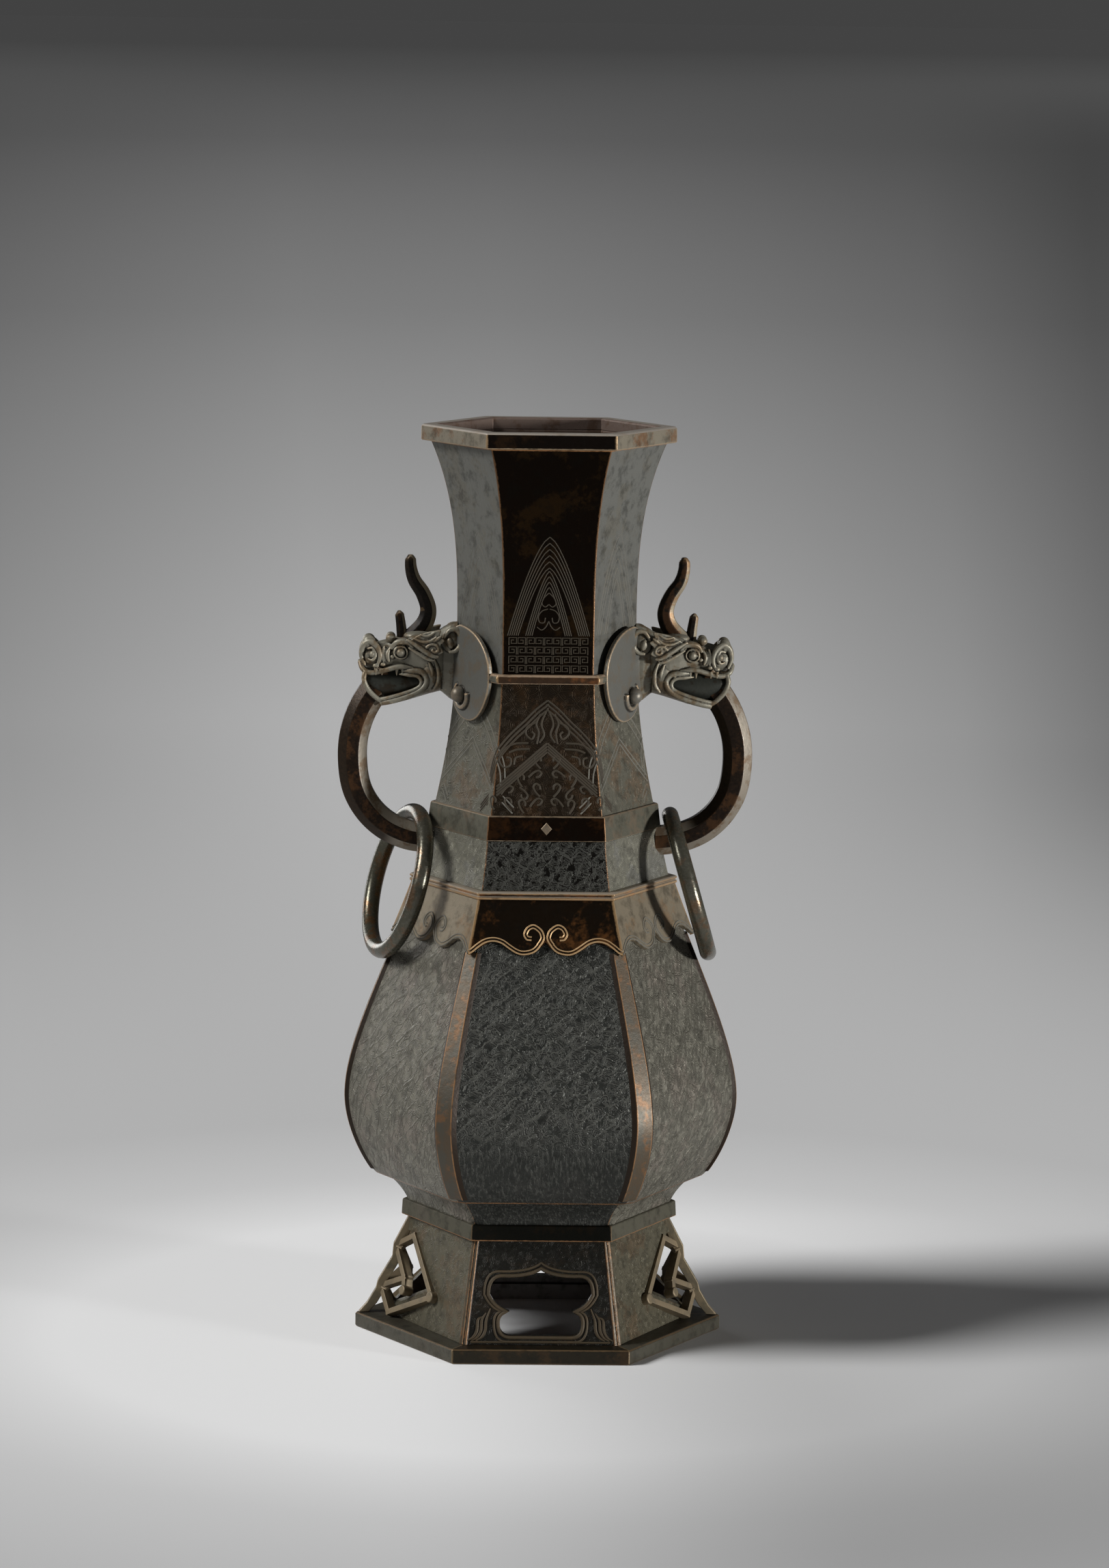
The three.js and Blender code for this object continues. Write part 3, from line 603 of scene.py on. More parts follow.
def net(bench, across, up, cell, slant, stretch, seed, thick=0.05):
    """A net of raised lines with smaller ones nested inside its meshes, as on an old cast ground."""
    along, over = turn_by(across, up, slant)
    spot = bench.node("ShaderNodeCombineXYZ", None,
                      {0: along / (cell * stretch), 1: over / cell, 2: seed})
    rim = bench.node("ShaderNodeTexVoronoi",
                     {"voronoi_dimensions": "2D", "feature": "DISTANCE_TO_EDGE"},
                     {"Vector": spot, "Scale": 1.0, "Randomness": 0.85})
    outer = bench.ramp(rim, thick * 0.7, thick * 1.6, 1.0, 0.0)
    inner = bench.ramp((rim - 0.19).size(), thick * 0.4, thick * 1.1, 0.75, 0.0)
    core = bench.ramp((rim - 0.33).size(), thick * 0.4, thick, 0.6, 0.0)
    return outer.most(inner).most(core)


def long_strokes(bench, across, up, slant, gap, seed, reach=16.0):
    """Long raised strokes that run one way, broken off at random."""
    along, over = turn_by(across, up, slant)
    drift = bench.node("ShaderNodeCombineXYZ", None, {0: along / 40, 1: over / 14, 2: seed})
    wander = bench.noise(drift, 1.0, 2) - 0.5
    line = ((over / gap + wander * 1.6).fraction() - 0.5).size()
    patch = bench.node("ShaderNodeCombineXYZ", None, {0: along / reach, 1: over / gap, 2: seed + 4})
    kept = bench.ramp(bench.noise(patch, 1.0, 1), 0.5, 0.56)
    return bench.ramp(line, 0.05, 0.13, 1.0, 0.0) * kept


def broken(bench, lines, size, low=0.3, high=0.5, least=0.2):
    return lines * bench.ramp(bench.noise(bench.place(shift=(3, 8, 1)), size, 2), low, high,
                              least, 1.0)


# Finishes

BLACK = (0.0045, 0.004, 0.003, 1)
WARM_BLACK = (0.005, 0.003, 0.0018, 1)
CHARCOAL = (0.021, 0.022, 0.0195, 1)
DARK_BROWN = (0.014, 0.0075, 0.003, 1)
UMBER = (0.04, 0.02, 0.009, 1)
RUST = (0.13, 0.05, 0.016, 1)
DULL_COPPER = (0.2, 0.105, 0.05, 1)
COPPER = (0.34, 0.17, 0.075, 1)
GOLD = (0.46, 0.3, 0.15, 1)
TAN = (0.24, 0.18, 0.12, 1)
OLIVE = (0.115, 0.11, 0.084, 1)
STONE = (0.19, 0.18, 0.155, 1)
GREY_LINE = (0.105, 0.105, 0.095, 1)


def wall_bronze(name, front, side, front_stain, side_stain, pattern=None, front_lines=GREY_LINE,
                side_lines=CHARCOAL, line_share=0.7, relief=0.4, corner=0.9, corner_tone=COPPER,
                levels=(), level_tone=COPPER, flat_tops=True, stain=(0.5, 0.62), roughness=0.46,
                metallic=0.5, top=None, specular=0.3, seed=0.0):
    """Patinated bronze of a six-sided wall: its front and back faces darker and its four sides paler,
    partly patina and mostly painted shade and painted reflection of the side lamps, its corners
    and edges worn to copper here and there, and a cast ground pattern where there is one."""
    bench = Bench(name)
    wall = HexPlace(bench)
    where = bench.place(shift=(seed * 37, seed * 11, 0))
    cloud = bench.noise(where, 19, 4, 0.62)
    grain = bench.noise(where, 2.4, 4, 0.65)
    dust = bench.noise(where, 0.8, 2, 0.5)
    # painted shade and painted reflection: the front and back faces take the dark tones and the four
    # sides the pale ones
    ground = bench.tint(wall.front, side, front)
    warm = bench.tint(wall.front, side_stain, front_stain)
    blotch = bench.ramp(cloud + (grain - 0.5) * 0.3, *stain)
    colour = bench.tint(blotch, ground, warm)
    veil = bench.ramp(bench.noise(bench.place(shift=(seed, 50, seed)), 7, 4, 0.7), 0.3, 0.55, 0.45, 0)
    colour = bench.tint(veil, colour, BLACK)
    height = grain * 0.1 + dust * 0.05
    if pattern:
        ridge = pattern(bench, wall)
        share = ridge * line_share
        # the raised lines are painted darker on the front and back faces too, the same painted shade
        lines = bench.tint(wall.front, side_lines, front_lines)
        colour = bench.tint(share, colour, lines)
        height = height + ridge * relief
    ragged = wall.edge + (grain - 0.5) * 1.1 + (cloud - 0.5) * 1.4
    worn = bench.ramp(ragged, corner * 0.3, corner, 1.0, 0.0) * bench.ramp(cloud, 0.3, 0.55, 0.5, 1)
    colour = bench.tint(worn * 0.75, colour, corner_tone)
    if levels:
        line = None
        for level, half in levels:
            near = (wall.height - level).size() + (grain - 0.5) * 0.6
            here = bench.ramp(near, half * 0.5, half, 1.0, 0.0)
            line = here if line is None else line.most(here)
        if not flat_tops:
            line = line * bench.ramp(bench.normal(2).size(), 0.75, 0.95, 1.0, 0.0)
        line = line * bench.ramp(bench.noise(where, 6, 3), 0.3, 0.5, 0.4, 1.0)
        colour = bench.tint(line * 0.85, colour, level_tone)
        worn = worn.most(line)
    # painted light: faces that look upwards are painted paler, in patches, as if lit from above
    if top:
        painted_top_light = (bench.ramp(bench.normal(2) + (grain - 0.5) * 0.3, 0.25, 0.5)
                  * bench.ramp(cloud, 0.3, 0.5, 0.6, 1))
        colour = bench.tint(painted_top_light, colour, top)
    rough = roughness + (grain - 0.5) * 0.22 - worn * 0.08
    return bench.finish(colour, rough, metallic, height, specular=specular)


def cast_bronze(name, body, stain, deep, high, seed=0.0, roughness=0.42, metallic=0.5,
                front=None, front_stain=None, wear_and_highlight=0.8):
    """Patinated bronze of a sculpted piece: dark in its hollows, as patina and painted shade, and
    lighter on its high places, as wear and painted highlight. Facets that look to the front or the
    back may have a darker tone of their own, painted shade and painted dark reflection, and then
    those that look to the left are the deep tone, painted shade too."""
    bench = Bench(name)
    where = bench.place(shift=(seed * 23, 0, seed * 7))
    cloud = bench.noise(where, 9, 4, 0.62)
    grain = bench.noise(where, 1.5, 4, 0.6)
    blotch = bench.ramp(cloud + (grain - 0.5) * 0.2, 0.48, 0.62)
    colour = bench.tint(blotch, body, stain)
    # painted shade and painted dark reflection: facets that look to the front or back take the front
    # tones, and those that look to the left are painted with the deep tone
    if front:
        colour = bench.tint(bench.ramp(bench.normal(1).size(), 0.8, 0.9), colour,
                            bench.tint(blotch, front, front_stain))
        colour = bench.tint(bench.ramp(bench.normal(0), -0.35, -0.2, 1.0, 0.0), colour, deep)
    point = bench.node("ShaderNodeNewGeometry", output="Pointiness")
    # painted shade in the hollows, over patina, and painted highlight on the crests, over wear
    hollow = bench.ramp(point + (grain - 0.5) * 0.02, 0.465, 0.501, 1.0, 0.0)
    crest = bench.ramp(point + (grain - 0.5) * 0.03, 0.508, 0.55, 0.0, 1.0)
    colour = bench.tint(hollow * 0.85, colour, deep)
    colour = bench.tint(crest * wear_and_highlight, colour, high)
    rough = roughness + (grain - 0.5) * 0.2
    return bench.finish(colour, rough, metallic, grain * 0.1)


def rib_bronze(name, body, pale, flat):
    """The flat of a rib is tan, its slopes are painted dark as painted shade and the edge between
    them is worn to copper.
    How far off its corner a point lies is its angle, in sixths of a turn, as is half the flat."""
    bench = Bench(name)
    where = bench.place()
    cloud = bench.noise(bench.place(stretch=(1, 1, 0.45)), 9, 4, 0.65)
    grain = bench.noise(where, 1.6, 4, 0.6)
    angle = bench.part(where, 1).maths("ARCTAN2", bench.part(where, 0)) / (math.pi / 3)
    off = (angle - (angle + 0.5).floor()).size() / flat
    colour = bench.tint(bench.ramp(cloud, 0.42, 0.6), body, pale)
    stain = bench.noise(where, 5, 3)
    colour = bench.tint(bench.ramp(stain, 0.52, 0.68, 0, 0.6), colour, (0.16, 0.075, 0.028, 1))
    # painted shade on the rib's slopes
    colour = bench.tint(bench.ramp(off, 0.93, 1.03), colour, DARK_BROWN)
    edge = bench.ramp((off - 0.95).size() + (grain - 0.5) * 0.06, 0.03, 0.1, 1.0, 0.0)
    edge = edge * bench.ramp(bench.noise(where, 7, 2), 0.35, 0.5, 0.25, 1)
    colour = bench.tint(edge * 0.7, colour, (0.27, 0.14, 0.06, 1))
    return bench.finish(colour, 0.46 + (grain - 0.5) * 0.2, 0.4, grain * 0.12)


def belly_ground(bench, wall):
    across, up = spot_on(bench, wall, 4.4, 3.6, 1)
    meshes = net(bench, across, up, 4.5, 38, 1.3, 3, 0.058)
    strokes = long_strokes(bench, across, up, 38, 4.8, 5, 14)
    counter = long_strokes(bench, across, up, -36, 5.6, 9, 6) * 0.8
    front = broken(bench, meshes, 4, 0.34, 0.48, 0.12).most(strokes).most(counter)
    fade = bench.ramp(wall.height + (bench.noise(bench.place(), 12, 2) - 0.5) * 22, 98, 126)
    streak = bench.noise(bench.place(stretch=(1, 1, 0.05)), 1.3, 3, 0.6)
    front = front * (fade * 0.88 + 0.12) + bench.ramp(streak, 0.45, 0.7, 0, 0.6) * (1 - fade)
    across, up = spot_on(bench, wall, 2.6, 4, 2)
    steep = net(bench, across, up, 3.3, 64, 2.0, 6, 0.05)
    side = broken(bench, steep, 4, 0.36, 0.55, 0.1).most(
        long_strokes(bench, across, up, 60, 3.4, 11, 9)).most(
        long_strokes(bench, across, up, 38, 6.5, 13, 12) * 0.8)
    return front * wall.front + side * (1 - wall.front)


def shoulder_ground(bench, wall):
    across, up = spot_on(bench, wall, 5.0, 3.4, 4)
    bold = net(bench, across, up, 4.6, 62, 1.5, 8, 0.07)
    bold = broken(bench, bold, 3, 0.36, 0.46, 0.0).most(
        long_strokes(bench, across, up, 35, 4.2, 3, 7))
    across, up = spot_on(bench, wall, 1.8, 4, 5)
    faint = net(bench, across, up, 3.1, 50, 1.6, 2, 0.06)
    return bold * wall.front + broken(bench, faint, 4) * 0.6 * (1 - wall.front)


def neck_ground(bench, wall):
    across, up = spot_on(bench, wall, 2.2, 4.5, 6)
    curls = net(bench, across, up, 4.4, 45, 1.15, 5, 0.055)
    faint = net(bench, across, up, 2.6, 72, 2.8, 1, 0.06)
    return broken(bench, curls, 5) * wall.front * 0.6 + broken(
        bench, faint, 4, 0.4, 0.6, 0.0) * 0.5 * (1 - wall.front)


def foot_ground(bench, wall):
    across, up = spot_on(bench, wall, 2.2, 4, 7)
    return broken(bench, net(bench, across, up, 3.2, 40, 1.3, 4, 0.06), 4, 0.4, 0.6, 0.1) * 0.7


def brushed_ground(bench, wall):
    streak = bench.noise(bench.place(stretch=(1, 1, 0.12)), 1.6, 3, 0.6)
    return bench.ramp(streak, 0.52, 0.75) * 0.5


neck_finish = wall_bronze("upper_neck_bronze", WARM_BLACK, (0.155, 0.154, 0.138, 1), DARK_BROWN,
                          (0.153, 0.146, 0.123, 1), brushed_ground, WARM_BLACK, OLIVE,
                          line_share=0.3, relief=0.1, corner=0.7, corner_tone=DULL_COPPER,
                          levels=((LIP_FOOT - 0.4, 0.5),), roughness=0.42, specular=0.03, seed=1)
lower_neck_finish = wall_bronze("lower_neck_bronze", (0.014, 0.009, 0.005, 1),
                                (0.12, 0.114, 0.088, 1), (0.03, 0.016, 0.007, 1),
                                (0.13, 0.1, 0.068, 1), neck_ground, (0.038, 0.028, 0.017, 1),
                                (0.07, 0.066, 0.052, 1), relief=0.3, corner=0.6,
                                corner_tone=DULL_COPPER, specular=0.12, seed=2)
shoulder_finish = wall_bronze("shoulder_bronze", BLACK, (0.202, 0.195, 0.153, 1), BLACK,
                              (0.185, 0.181, 0.157, 1), shoulder_ground, (0.07, 0.07, 0.061, 1),
                              (0.2, 0.194, 0.163, 1), line_share=0.8, relief=0.45, corner=0.5,
                              corner_tone=DULL_COPPER, specular=0.12, seed=3)
belly_finish = wall_bronze("belly_bronze", (0.019, 0.02, 0.0175, 1), (0.175, 0.165, 0.132, 1),
                           (0.025, 0.025, 0.022, 1), (0.19, 0.168, 0.137, 1), belly_ground,
                           (0.095, 0.095, 0.083, 1), (0.075, 0.069, 0.053, 1),
                           line_share=0.75, corner=0.2, levels=((BELLY_LIP - 1, 0.7),),
                           level_tone=DULL_COPPER, seed=4)
band_finish = wall_bronze("band_bronze", (0.005, 0.0025, 0.0012, 1), OLIVE,
                          (0.022, 0.009, 0.003, 1), (0.15, 0.12, 0.085, 1),
                          corner=0.7, corner_tone=DULL_COPPER,
                          levels=((BAND_TOP, 0.7), (BAND_FOOT, 0.45)), level_tone=TAN,
                          stain=(0.48, 0.64), specular=0.05, seed=5)
collar_finish = wall_bronze("collar_bronze", (0.007, 0.004, 0.0018, 1), (0.22, 0.185, 0.132, 1),
                            (0.075, 0.031, 0.009, 1), (0.22, 0.155, 0.095, 1), corner=1.2,
                            corner_tone=(0.4, 0.25, 0.12, 1), stain=(0.5, 0.66),
                            specular=0.1, seed=6)
ledge_finish = wall_bronze("ledge_bronze", UMBER, TAN, RUST, COPPER, corner=1.2,
                           corner_tone=GOLD,
                           levels=((COLLAR_TOP + 0.8, 0.7), (LEDGE_TOP - 0.5, 0.8)),
                           level_tone=(0.36, 0.23, 0.12, 1), top=(0.33, 0.28, 0.22, 1), seed=7)
rim_finish = wall_bronze("rim_bronze", (0.005, 0.003, 0.002, 1), (0.225, 0.198, 0.15, 1),
                         (0.018, 0.009, 0.004, 1),
                         (0.2, 0.12, 0.07, 1), corner=1.0, corner_tone=(0.4, 0.27, 0.15, 1),
                         levels=((VASE_TOP - 0.4, 0.7), (LIP_FOOT + 0.3, 0.5)),
                         level_tone=(0.34, 0.25, 0.16, 1), stain=(0.52, 0.66),
                         top=(0.36, 0.32, 0.275, 1), specular=0.08, seed=8)
string_finish = wall_bronze("string_bronze", UMBER, OLIVE, RUST, TAN, corner=1.0,
                            corner_tone=GOLD,
                            levels=((STRING_TOP - 0.3, 0.8), (STRING_FOOT + 0.2, 0.5)),
                            level_tone=(0.42, 0.3, 0.2, 1), seed=9)
flange_finish = wall_bronze("flange_bronze", (0.003, 0.003, 0.002, 1), (0.066, 0.062, 0.046, 1),
                            (0.006, 0.004, 0.002, 1), (0.07, 0.063, 0.048, 1), corner=0.5,
                            specular=0.05, metallic=0.1, roughness=0.55,
                            corner_tone=(0.12, 0.085, 0.05, 1), levels=((FOOT_TOP + 0.3, 0.4),),
                            level_tone=DULL_COPPER, flat_tops=False, seed=10)
foot_finish = wall_bronze("foot_bronze", (0.0075, 0.007, 0.005, 1), (0.094, 0.084, 0.056, 1),
                          (0.013, 0.009, 0.005, 1), (0.1, 0.075, 0.045, 1), foot_ground,
                          (0.021, 0.02, 0.015, 1), (0.06, 0.055, 0.038, 1), line_share=0.6,
                          relief=0.25, corner=0.3, seed=11)
plate_finish = wall_bronze("plate_bronze", (0.014, 0.011, 0.006, 1), (0.068, 0.063, 0.047, 1),
                           (0.03, 0.018, 0.008, 1), (0.064, 0.056, 0.04, 1), corner=0.8,
                           corner_tone=(0.17, 0.12, 0.065, 1),
                           levels=((PLATE_TOP - 0.3, 0.6), (0.3, 0.4)),
                           level_tone=(0.13, 0.085, 0.045, 1), flat_tops=False, seed=12)
rib_finish = rib_bronze("rib_bronze", (0.076, 0.056, 0.036, 1), (0.066, 0.059, 0.045, 1),
                        flat=0.0433)
foot_rib_finish = rib_bronze("foot_rib_bronze", (0.05, 0.034, 0.019, 1),
                             (0.06, 0.048, 0.031, 1), flat=0.024)
collar_line_finish = cast_bronze("collar_line_bronze", (0.25, 0.165, 0.095, 1), TAN, UMBER, GOLD,
                                 seed=2)
neck_line_finish = cast_bronze("neck_line_bronze", (0.03, 0.024, 0.015, 1),
                               (0.045, 0.029, 0.016, 1), BLACK, (0.04, 0.032, 0.021, 1),
                               seed=9, roughness=0.66, metallic=0.2)
side_line_finish = cast_bronze("side_line_bronze", (0.118, 0.112, 0.093, 1),
                               (0.125, 0.112, 0.088, 1), OLIVE, STONE,
                               seed=10, roughness=0.7, metallic=0.1, wear_and_highlight=0.0)
window_finish = cast_bronze("window_bronze", (0.02, 0.0155, 0.009, 1), (0.04, 0.026, 0.013, 1),
                            BLACK, (0.07, 0.05, 0.027, 1),
                            seed=12, roughness=0.6, metallic=0.3, wear_and_highlight=0.5)
stud_finish = cast_bronze("stud_bronze", (0.06, 0.055, 0.045, 1), UMBER, BLACK, TAN, seed=11)
fret_finish = cast_bronze("fret_bronze", (0.17, 0.135, 0.082, 1), (0.115, 0.098, 0.064, 1),
                          UMBER, TAN, seed=3, roughness=0.5, wear_and_highlight=0.3)
head_finish = cast_bronze("dragon_bronze", (0.201, 0.189, 0.149, 1), (0.13, 0.094, 0.055, 1),
                          (0.012, 0.009, 0.005, 1), (0.34, 0.28, 0.19, 1),
                          seed=4, roughness=0.46, metallic=0.35, wear_and_highlight=0.6)
mouth_finish = cast_bronze("mouth_bronze", (0.05, 0.052, 0.042, 1), (0.03, 0.02, 0.01, 1),
                           BLACK, CHARCOAL, seed=14, roughness=0.4)
horn_finish = cast_bronze("horn_bronze", (0.27, 0.23, 0.165, 1), (0.24, 0.15, 0.08, 1),
                          WARM_BLACK, GOLD, seed=5, roughness=0.45,
                          front=(0.005, 0.0035, 0.002, 1), front_stain=(0.035, 0.015, 0.005, 1),
                          wear_and_highlight=0.15)
handle_finish = cast_bronze("handle_bronze", (0.24, 0.212, 0.17, 1), (0.16, 0.115, 0.075, 1),
                            (0.012, 0.008, 0.004, 1), COPPER, seed=6, roughness=0.4,
                            front=(0.007, 0.004, 0.002, 1), front_stain=(0.045, 0.02, 0.007, 1),
                            wear_and_highlight=0.12)
ring_finish = cast_bronze("ring_bronze_coat", (0.0672, 0.0644, 0.0448, 1), (0.1, 0.052, 0.02, 1),
                          BLACK, STONE, seed=7, roughness=0.26, metallic=0.6)
ruff_finish = cast_bronze("ruff_bronze", (0.12, 0.118, 0.104, 1), (0.125, 0.108, 0.084, 1),
                          (0.014, 0.01, 0.006, 1), (0.42, 0.3, 0.18, 1),
                          seed=8, roughness=0.45, metallic=0.4)
inner_finish = cast_bronze("inner_bronze", (0.15, 0.11, 0.09, 1), (0.11, 0.07, 0.05, 1),
                           UMBER, TAN, seed=9, roughness=0.55, wear_and_highlight=0.2)
# painted light: the inner front and back faces of the foot and plate are painted pale, so that the
# unlit inside shows as if lit through the windows
painted_light_inside_finish = wall_bronze("painted_light_inside_bronze", (0.5, 0.49, 0.49, 1), UMBER, (0.46, 0.45, 0.44, 1),
                           DARK_BROWN, corner=0.3, roughness=0.8, metallic=0.0, seed=13)


# Base and foot

def make_base_plate():
    """A stepped slab, drawn out at its ends as far as the frame has it."""
    radius, opening = 86, 68.07
    outside = [(radius - 0.8, 0), (radius, 0.7), (radius, PLATE_TOP - 1), (radius - 0.8, PLATE_TOP)]
    plate = hex_wall("base_plate_cast", outside, [(opening, 0), (opening, PLATE_TOP)])
    end_reach = frame_reach("base_plate") - radius
    for vertex in plate.data.vertices:
        if abs(vertex.co.x) > 80:
            vertex.co.x += math.copysign(end_reach, vertex.co.x)
    soften(plate, 0.5, 2)
    settle(plate, plate_finish, "base_plate", inner=painted_light_inside_finish)


def frame_reach(node):
    """How far a node reaches along X, in millimetres."""
    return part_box(node)[1][0] / MM


def window_line(grow):
    """The lobed window outline as points across and up, anticlockwise."""
    bottom, lobe, cusp = 11.9 - grow, 20 + grow, 15.2 + 1.5 * grow
    wide, top, apex, bend = 24.8 + grow, 39.9 + grow, 43.2 + 1.3 * grow, 23.6
    half = [
        [(lobe - 6, bottom), (lobe, bottom), (lobe, bend - 5.5)],
        [(lobe, bend - 5.5), (lobe, bend - 1), (cusp, bend)],
        [(cusp, bend), (wide - 3, bend + 1.5), (wide, bend + 8)],
        [(wide, bend + 8), (wide, top), (wide - 7, top)],
        [(wide - 7, top), (6, top - 0.5), (0, apex)],
    ]
    right = [bezier(piece, n / 8) for piece in half for n in range(8)] + [(0, apex)]
    left = [(-x, z) for x, z in reversed(right[:-1])]
    return right + left


def cut(piece, tool):
    boolean = piece.modifiers.new("cut", "BOOLEAN")
    boolean.operation = "DIFFERENCE"
    boolean.solver = "EXACT"
    boolean.object = tool
    apply_all(piece)
    bpy.data.objects.remove(tool)
    return piece


def corner_opening(side):
    """What is cut out of the foot's wall behind a corner fret."""
    outline = [(63.4, 49.8), (54.6, 25.3), (73.5, 11.5), (96.5, 11.5), (96.5, 49.8)]
    return plate_from("corner_opening", [(side * x, z) for x, z in outline], 152)


def make_foot():
    outside = [(foot_radius(z), z) for z in (PLATE_TOP, FOOT_TOP)]
    wall_cast = hex_wall("foot_wall_cast", outside, [(radius - WALL, z) for radius, z in outside])
    soften(wall_cast, 0.5, 2)
    cut(wall_cast, plate_from("window_tool", window_line(0), 200))
    for side in (-1, 1):
        cut(wall_cast, corner_opening(side))
    settle(wall_cast, foot_finish, "foot_wall", inner=painted_light_inside_finish, joins=20)
    lines = []
    for face in (FRONT, BACK):
        for grow, radius in ((0.7, 0.9), (2.7, 0.6)):
            points = [on_wall(face, x, z, foot_radius) for x, z in window_line(grow)]
            lines.append(bead("window_bead", points, radius, closed=True, sides=3))
        for side in (-1, 1):
            lines += leg_beads(face, side)
        foot_line = [on_wall(face, x, 9.0, foot_radius) for x in steps(-34, 34, 8)]
        lines.append(bead("foot_line", foot_line, 0.5, sides=2))
    settle(weld("window_frames", lines), window_finish)


def leg_beads(face, side):
    """The small curved leg at a lower corner of the window, with its flared fins."""
    beads = []
    for reach in (0.0, 2.1, 4.0):
        leg = flat_spline([(24.4 + reach, 25.0 - reach), (26.4 + reach, 19.5),
                           (26.9 + reach, 14.5), (28.6 + reach, 11.4), (31.4 + reach, 9.7)])
        points = [on_wall(face, side * x, z, foot_radius) for x, z in leg]
        beads.append(bead("leg_bead", points, 0.7, sides=2,
                          taper=lambda t: 0.45 + 0.7 * math.sin(math.pi * t)))
    return beads


def corner_strip(name, half_flat, half_base, depth, profile):
    """A rib up the +X corner: a flat strip with sloping sides."""
    radius, height = profile[0]
    clear_bench()
    bpy.ops.mesh.primitive_plane_add(size=1, location=(radius - depth / 2, 0, height))
    piece = bpy.context.object
    edit(piece)
    bpy.ops.transform.resize(value=(depth, 2 * half_base, 1),
                             center_override=(radius - depth / 2, 0, height))
    bpy.ops.object.mode_set(mode="OBJECT")
    for vertex in piece.data.vertices:
        if vertex.co.x > 0:
            vertex.co.y *= half_flat / half_base
    piece = named(name)
    edit(piece)
    extrude_through(profile)
    leave_facing_out()
    return piece


def make_foot_ribs():
    crest = [(foot_radius(z) - 0.35, z) for z in (PLATE_TOP, FOOT_TOP)]
    strip = corner_strip("foot_ribs", 1.75, 2.9, 2.2, crest)
    soften(strip, 0.25, 2)
    strips = [turned(copy_of(strip, "foot_rib"), corner * 60) for corner in (1, 2, 4, 5)]
    bpy.data.objects.remove(strip)
    settle(weld("foot_ribs", strips), foot_rib_finish)


# The corner fret, by reach and height: where its bars meet, and how far aside its boss lies
UPPER, BOSS = (71, 41.8), (53.5, 24.2)
BOSS_ASIDE = 37.4
SPINE_LEAN = 7.3 / 20.8
FRET_FOOT, FRET_TOP = 7.7, 57.3


def spine_reach(z):
    return UPPER[0] + (UPPER[1] - z) * SPINE_LEAN


def fret_point(x, z, facing):
    """A point on the plane that leans from the spine back to the boss."""
    sideways = BOSS_ASIDE / (spine_reach(BOSS[1]) - BOSS[0])
    return Vector((x, facing * sideways * (spine_reach(z) - x), z))


def make_frets():
    for side, turn in HANDS:
        bars = []
        for facing in (-1, 1):
            head, upper, inner, lower, toe, boss, tongue = (
                fret_point(x, z, facing) for x, z in (
                    (62.3, 48.7), UPPER, (66.8, 28.3), (78.3, 21), (74.5, 10.4), BOSS, (67, 22.6)))
            normal = (upper - lower).cross(boss - lower).normalized()
            if normal.x < 0:
                normal = -normal
            runs = ((head, boss), (head, upper), (upper, inner), (inner, lower),
                    (inner, tongue), (lower, toe), (toe, boss))
            for number, (a, b) in enumerate(runs):
                bars.append(fret_bar(a, b, normal, 2.9, 5.0, number * 0.07))
            for centre, size in ((boss, 2.8), (tongue, 2.5)):
                bars.append(fret_knob(centre, normal, size))
        spine = [(64.7, 56.8), (72, 42.5), (72.6, 36), (79.6, 24), (80.6, 20), (85, 12.5),
                 (89, 7.9)]
        back = [(x - 5, z) for x, z in reversed(spine)]
        bars.append(plate_from("spine", spine + back, 4.8, 0.4))
        fret = weld("corner_fret_cast_" + side, bars)
        trim_fret(fret)
        turned(fret, turn)
        settle(fret, fret_finish, "corner_fret_" + side, joins=40)


def fret_bar(start, end, normal, width, depth, lift):
    """A bar of the fret between two points, its face a little above the fret's plane."""
    along = end - start
    clear_bench()
    bpy.ops.mesh.primitive_cube_add(size=1)
    piece = bpy.context.object
    piece.data.transform(Matrix.Diagonal((along.length + width, width, depth, 1)))
    piece.data.transform(Matrix.Translation((0, 0, lift - depth / 2)))
    forward = along.normalized()
    turn = Matrix((forward, normal.cross(forward), normal)).transposed().to_4x4()
    piece.data.transform(Matrix.Translation((start + end) / 2) @ turn)
    return soften(piece, 0.35, 2)


def fret_knob(centre, normal, radius):
    """A round knob that stands on the fret's plane."""
    clear_bench()
    bpy.ops.mesh.primitive_cylinder_add(vertices=24, radius=radius, depth=6)
    piece = bpy.context.object
    piece.data.transform(Matrix.Translation((0, 0, -1.8)))
    turn = normal.to_track_quat("Z", "Y").to_matrix().to_4x4()
    piece.data.transform(Matrix.Translation(centre) @ turn)
    return soften(piece, 0.7, 3)


def trim_fret(fret):
    """Cuts the fret back to the plate and the flange that it stands between."""
    edit(fret)
    for height, away in ((FRET_FOOT, -1), (FRET_TOP, 1)):
        bpy.ops.mesh.select_all(action="SELECT")
        bpy.ops.mesh.bisect(plane_co=(0, 0, height), plane_no=(0, 0, away), clear_outer=True,
                            use_fill=True)
    bpy.ops.object.mode_set(mode="OBJECT")


def make_flange():
    outside = [(68.0, FOOT_TOP), (68.2, FOOT_TOP + 0.5), (67.8, FLANGE_TOP - 0.5),
               (67.2, FLANGE_TOP)]
    flange = hex_wall("waist_flange_cast", outside, [(58.8, FOOT_TOP), (58.8, FLANGE_TOP)])
    soften(flange, 0.4, 2)
    settle(flange, flange_finish, "waist_flange", inner=inner_finish)


# Belly, collar and shoulder

RIB_FLAT = 4.4
RIB_BASE = 6.6
RIB_RISE = 1.2
RIB_DEPTH = 2.7


def rib_crest(z):
    """Corner radius of the ribs' flats: the corner is cut flat and the rib stands on the cut."""
    return belly_radius(z) * (1 - RIB_FLAT * TAN30 / BELLY_RADIUS) + RIB_RISE


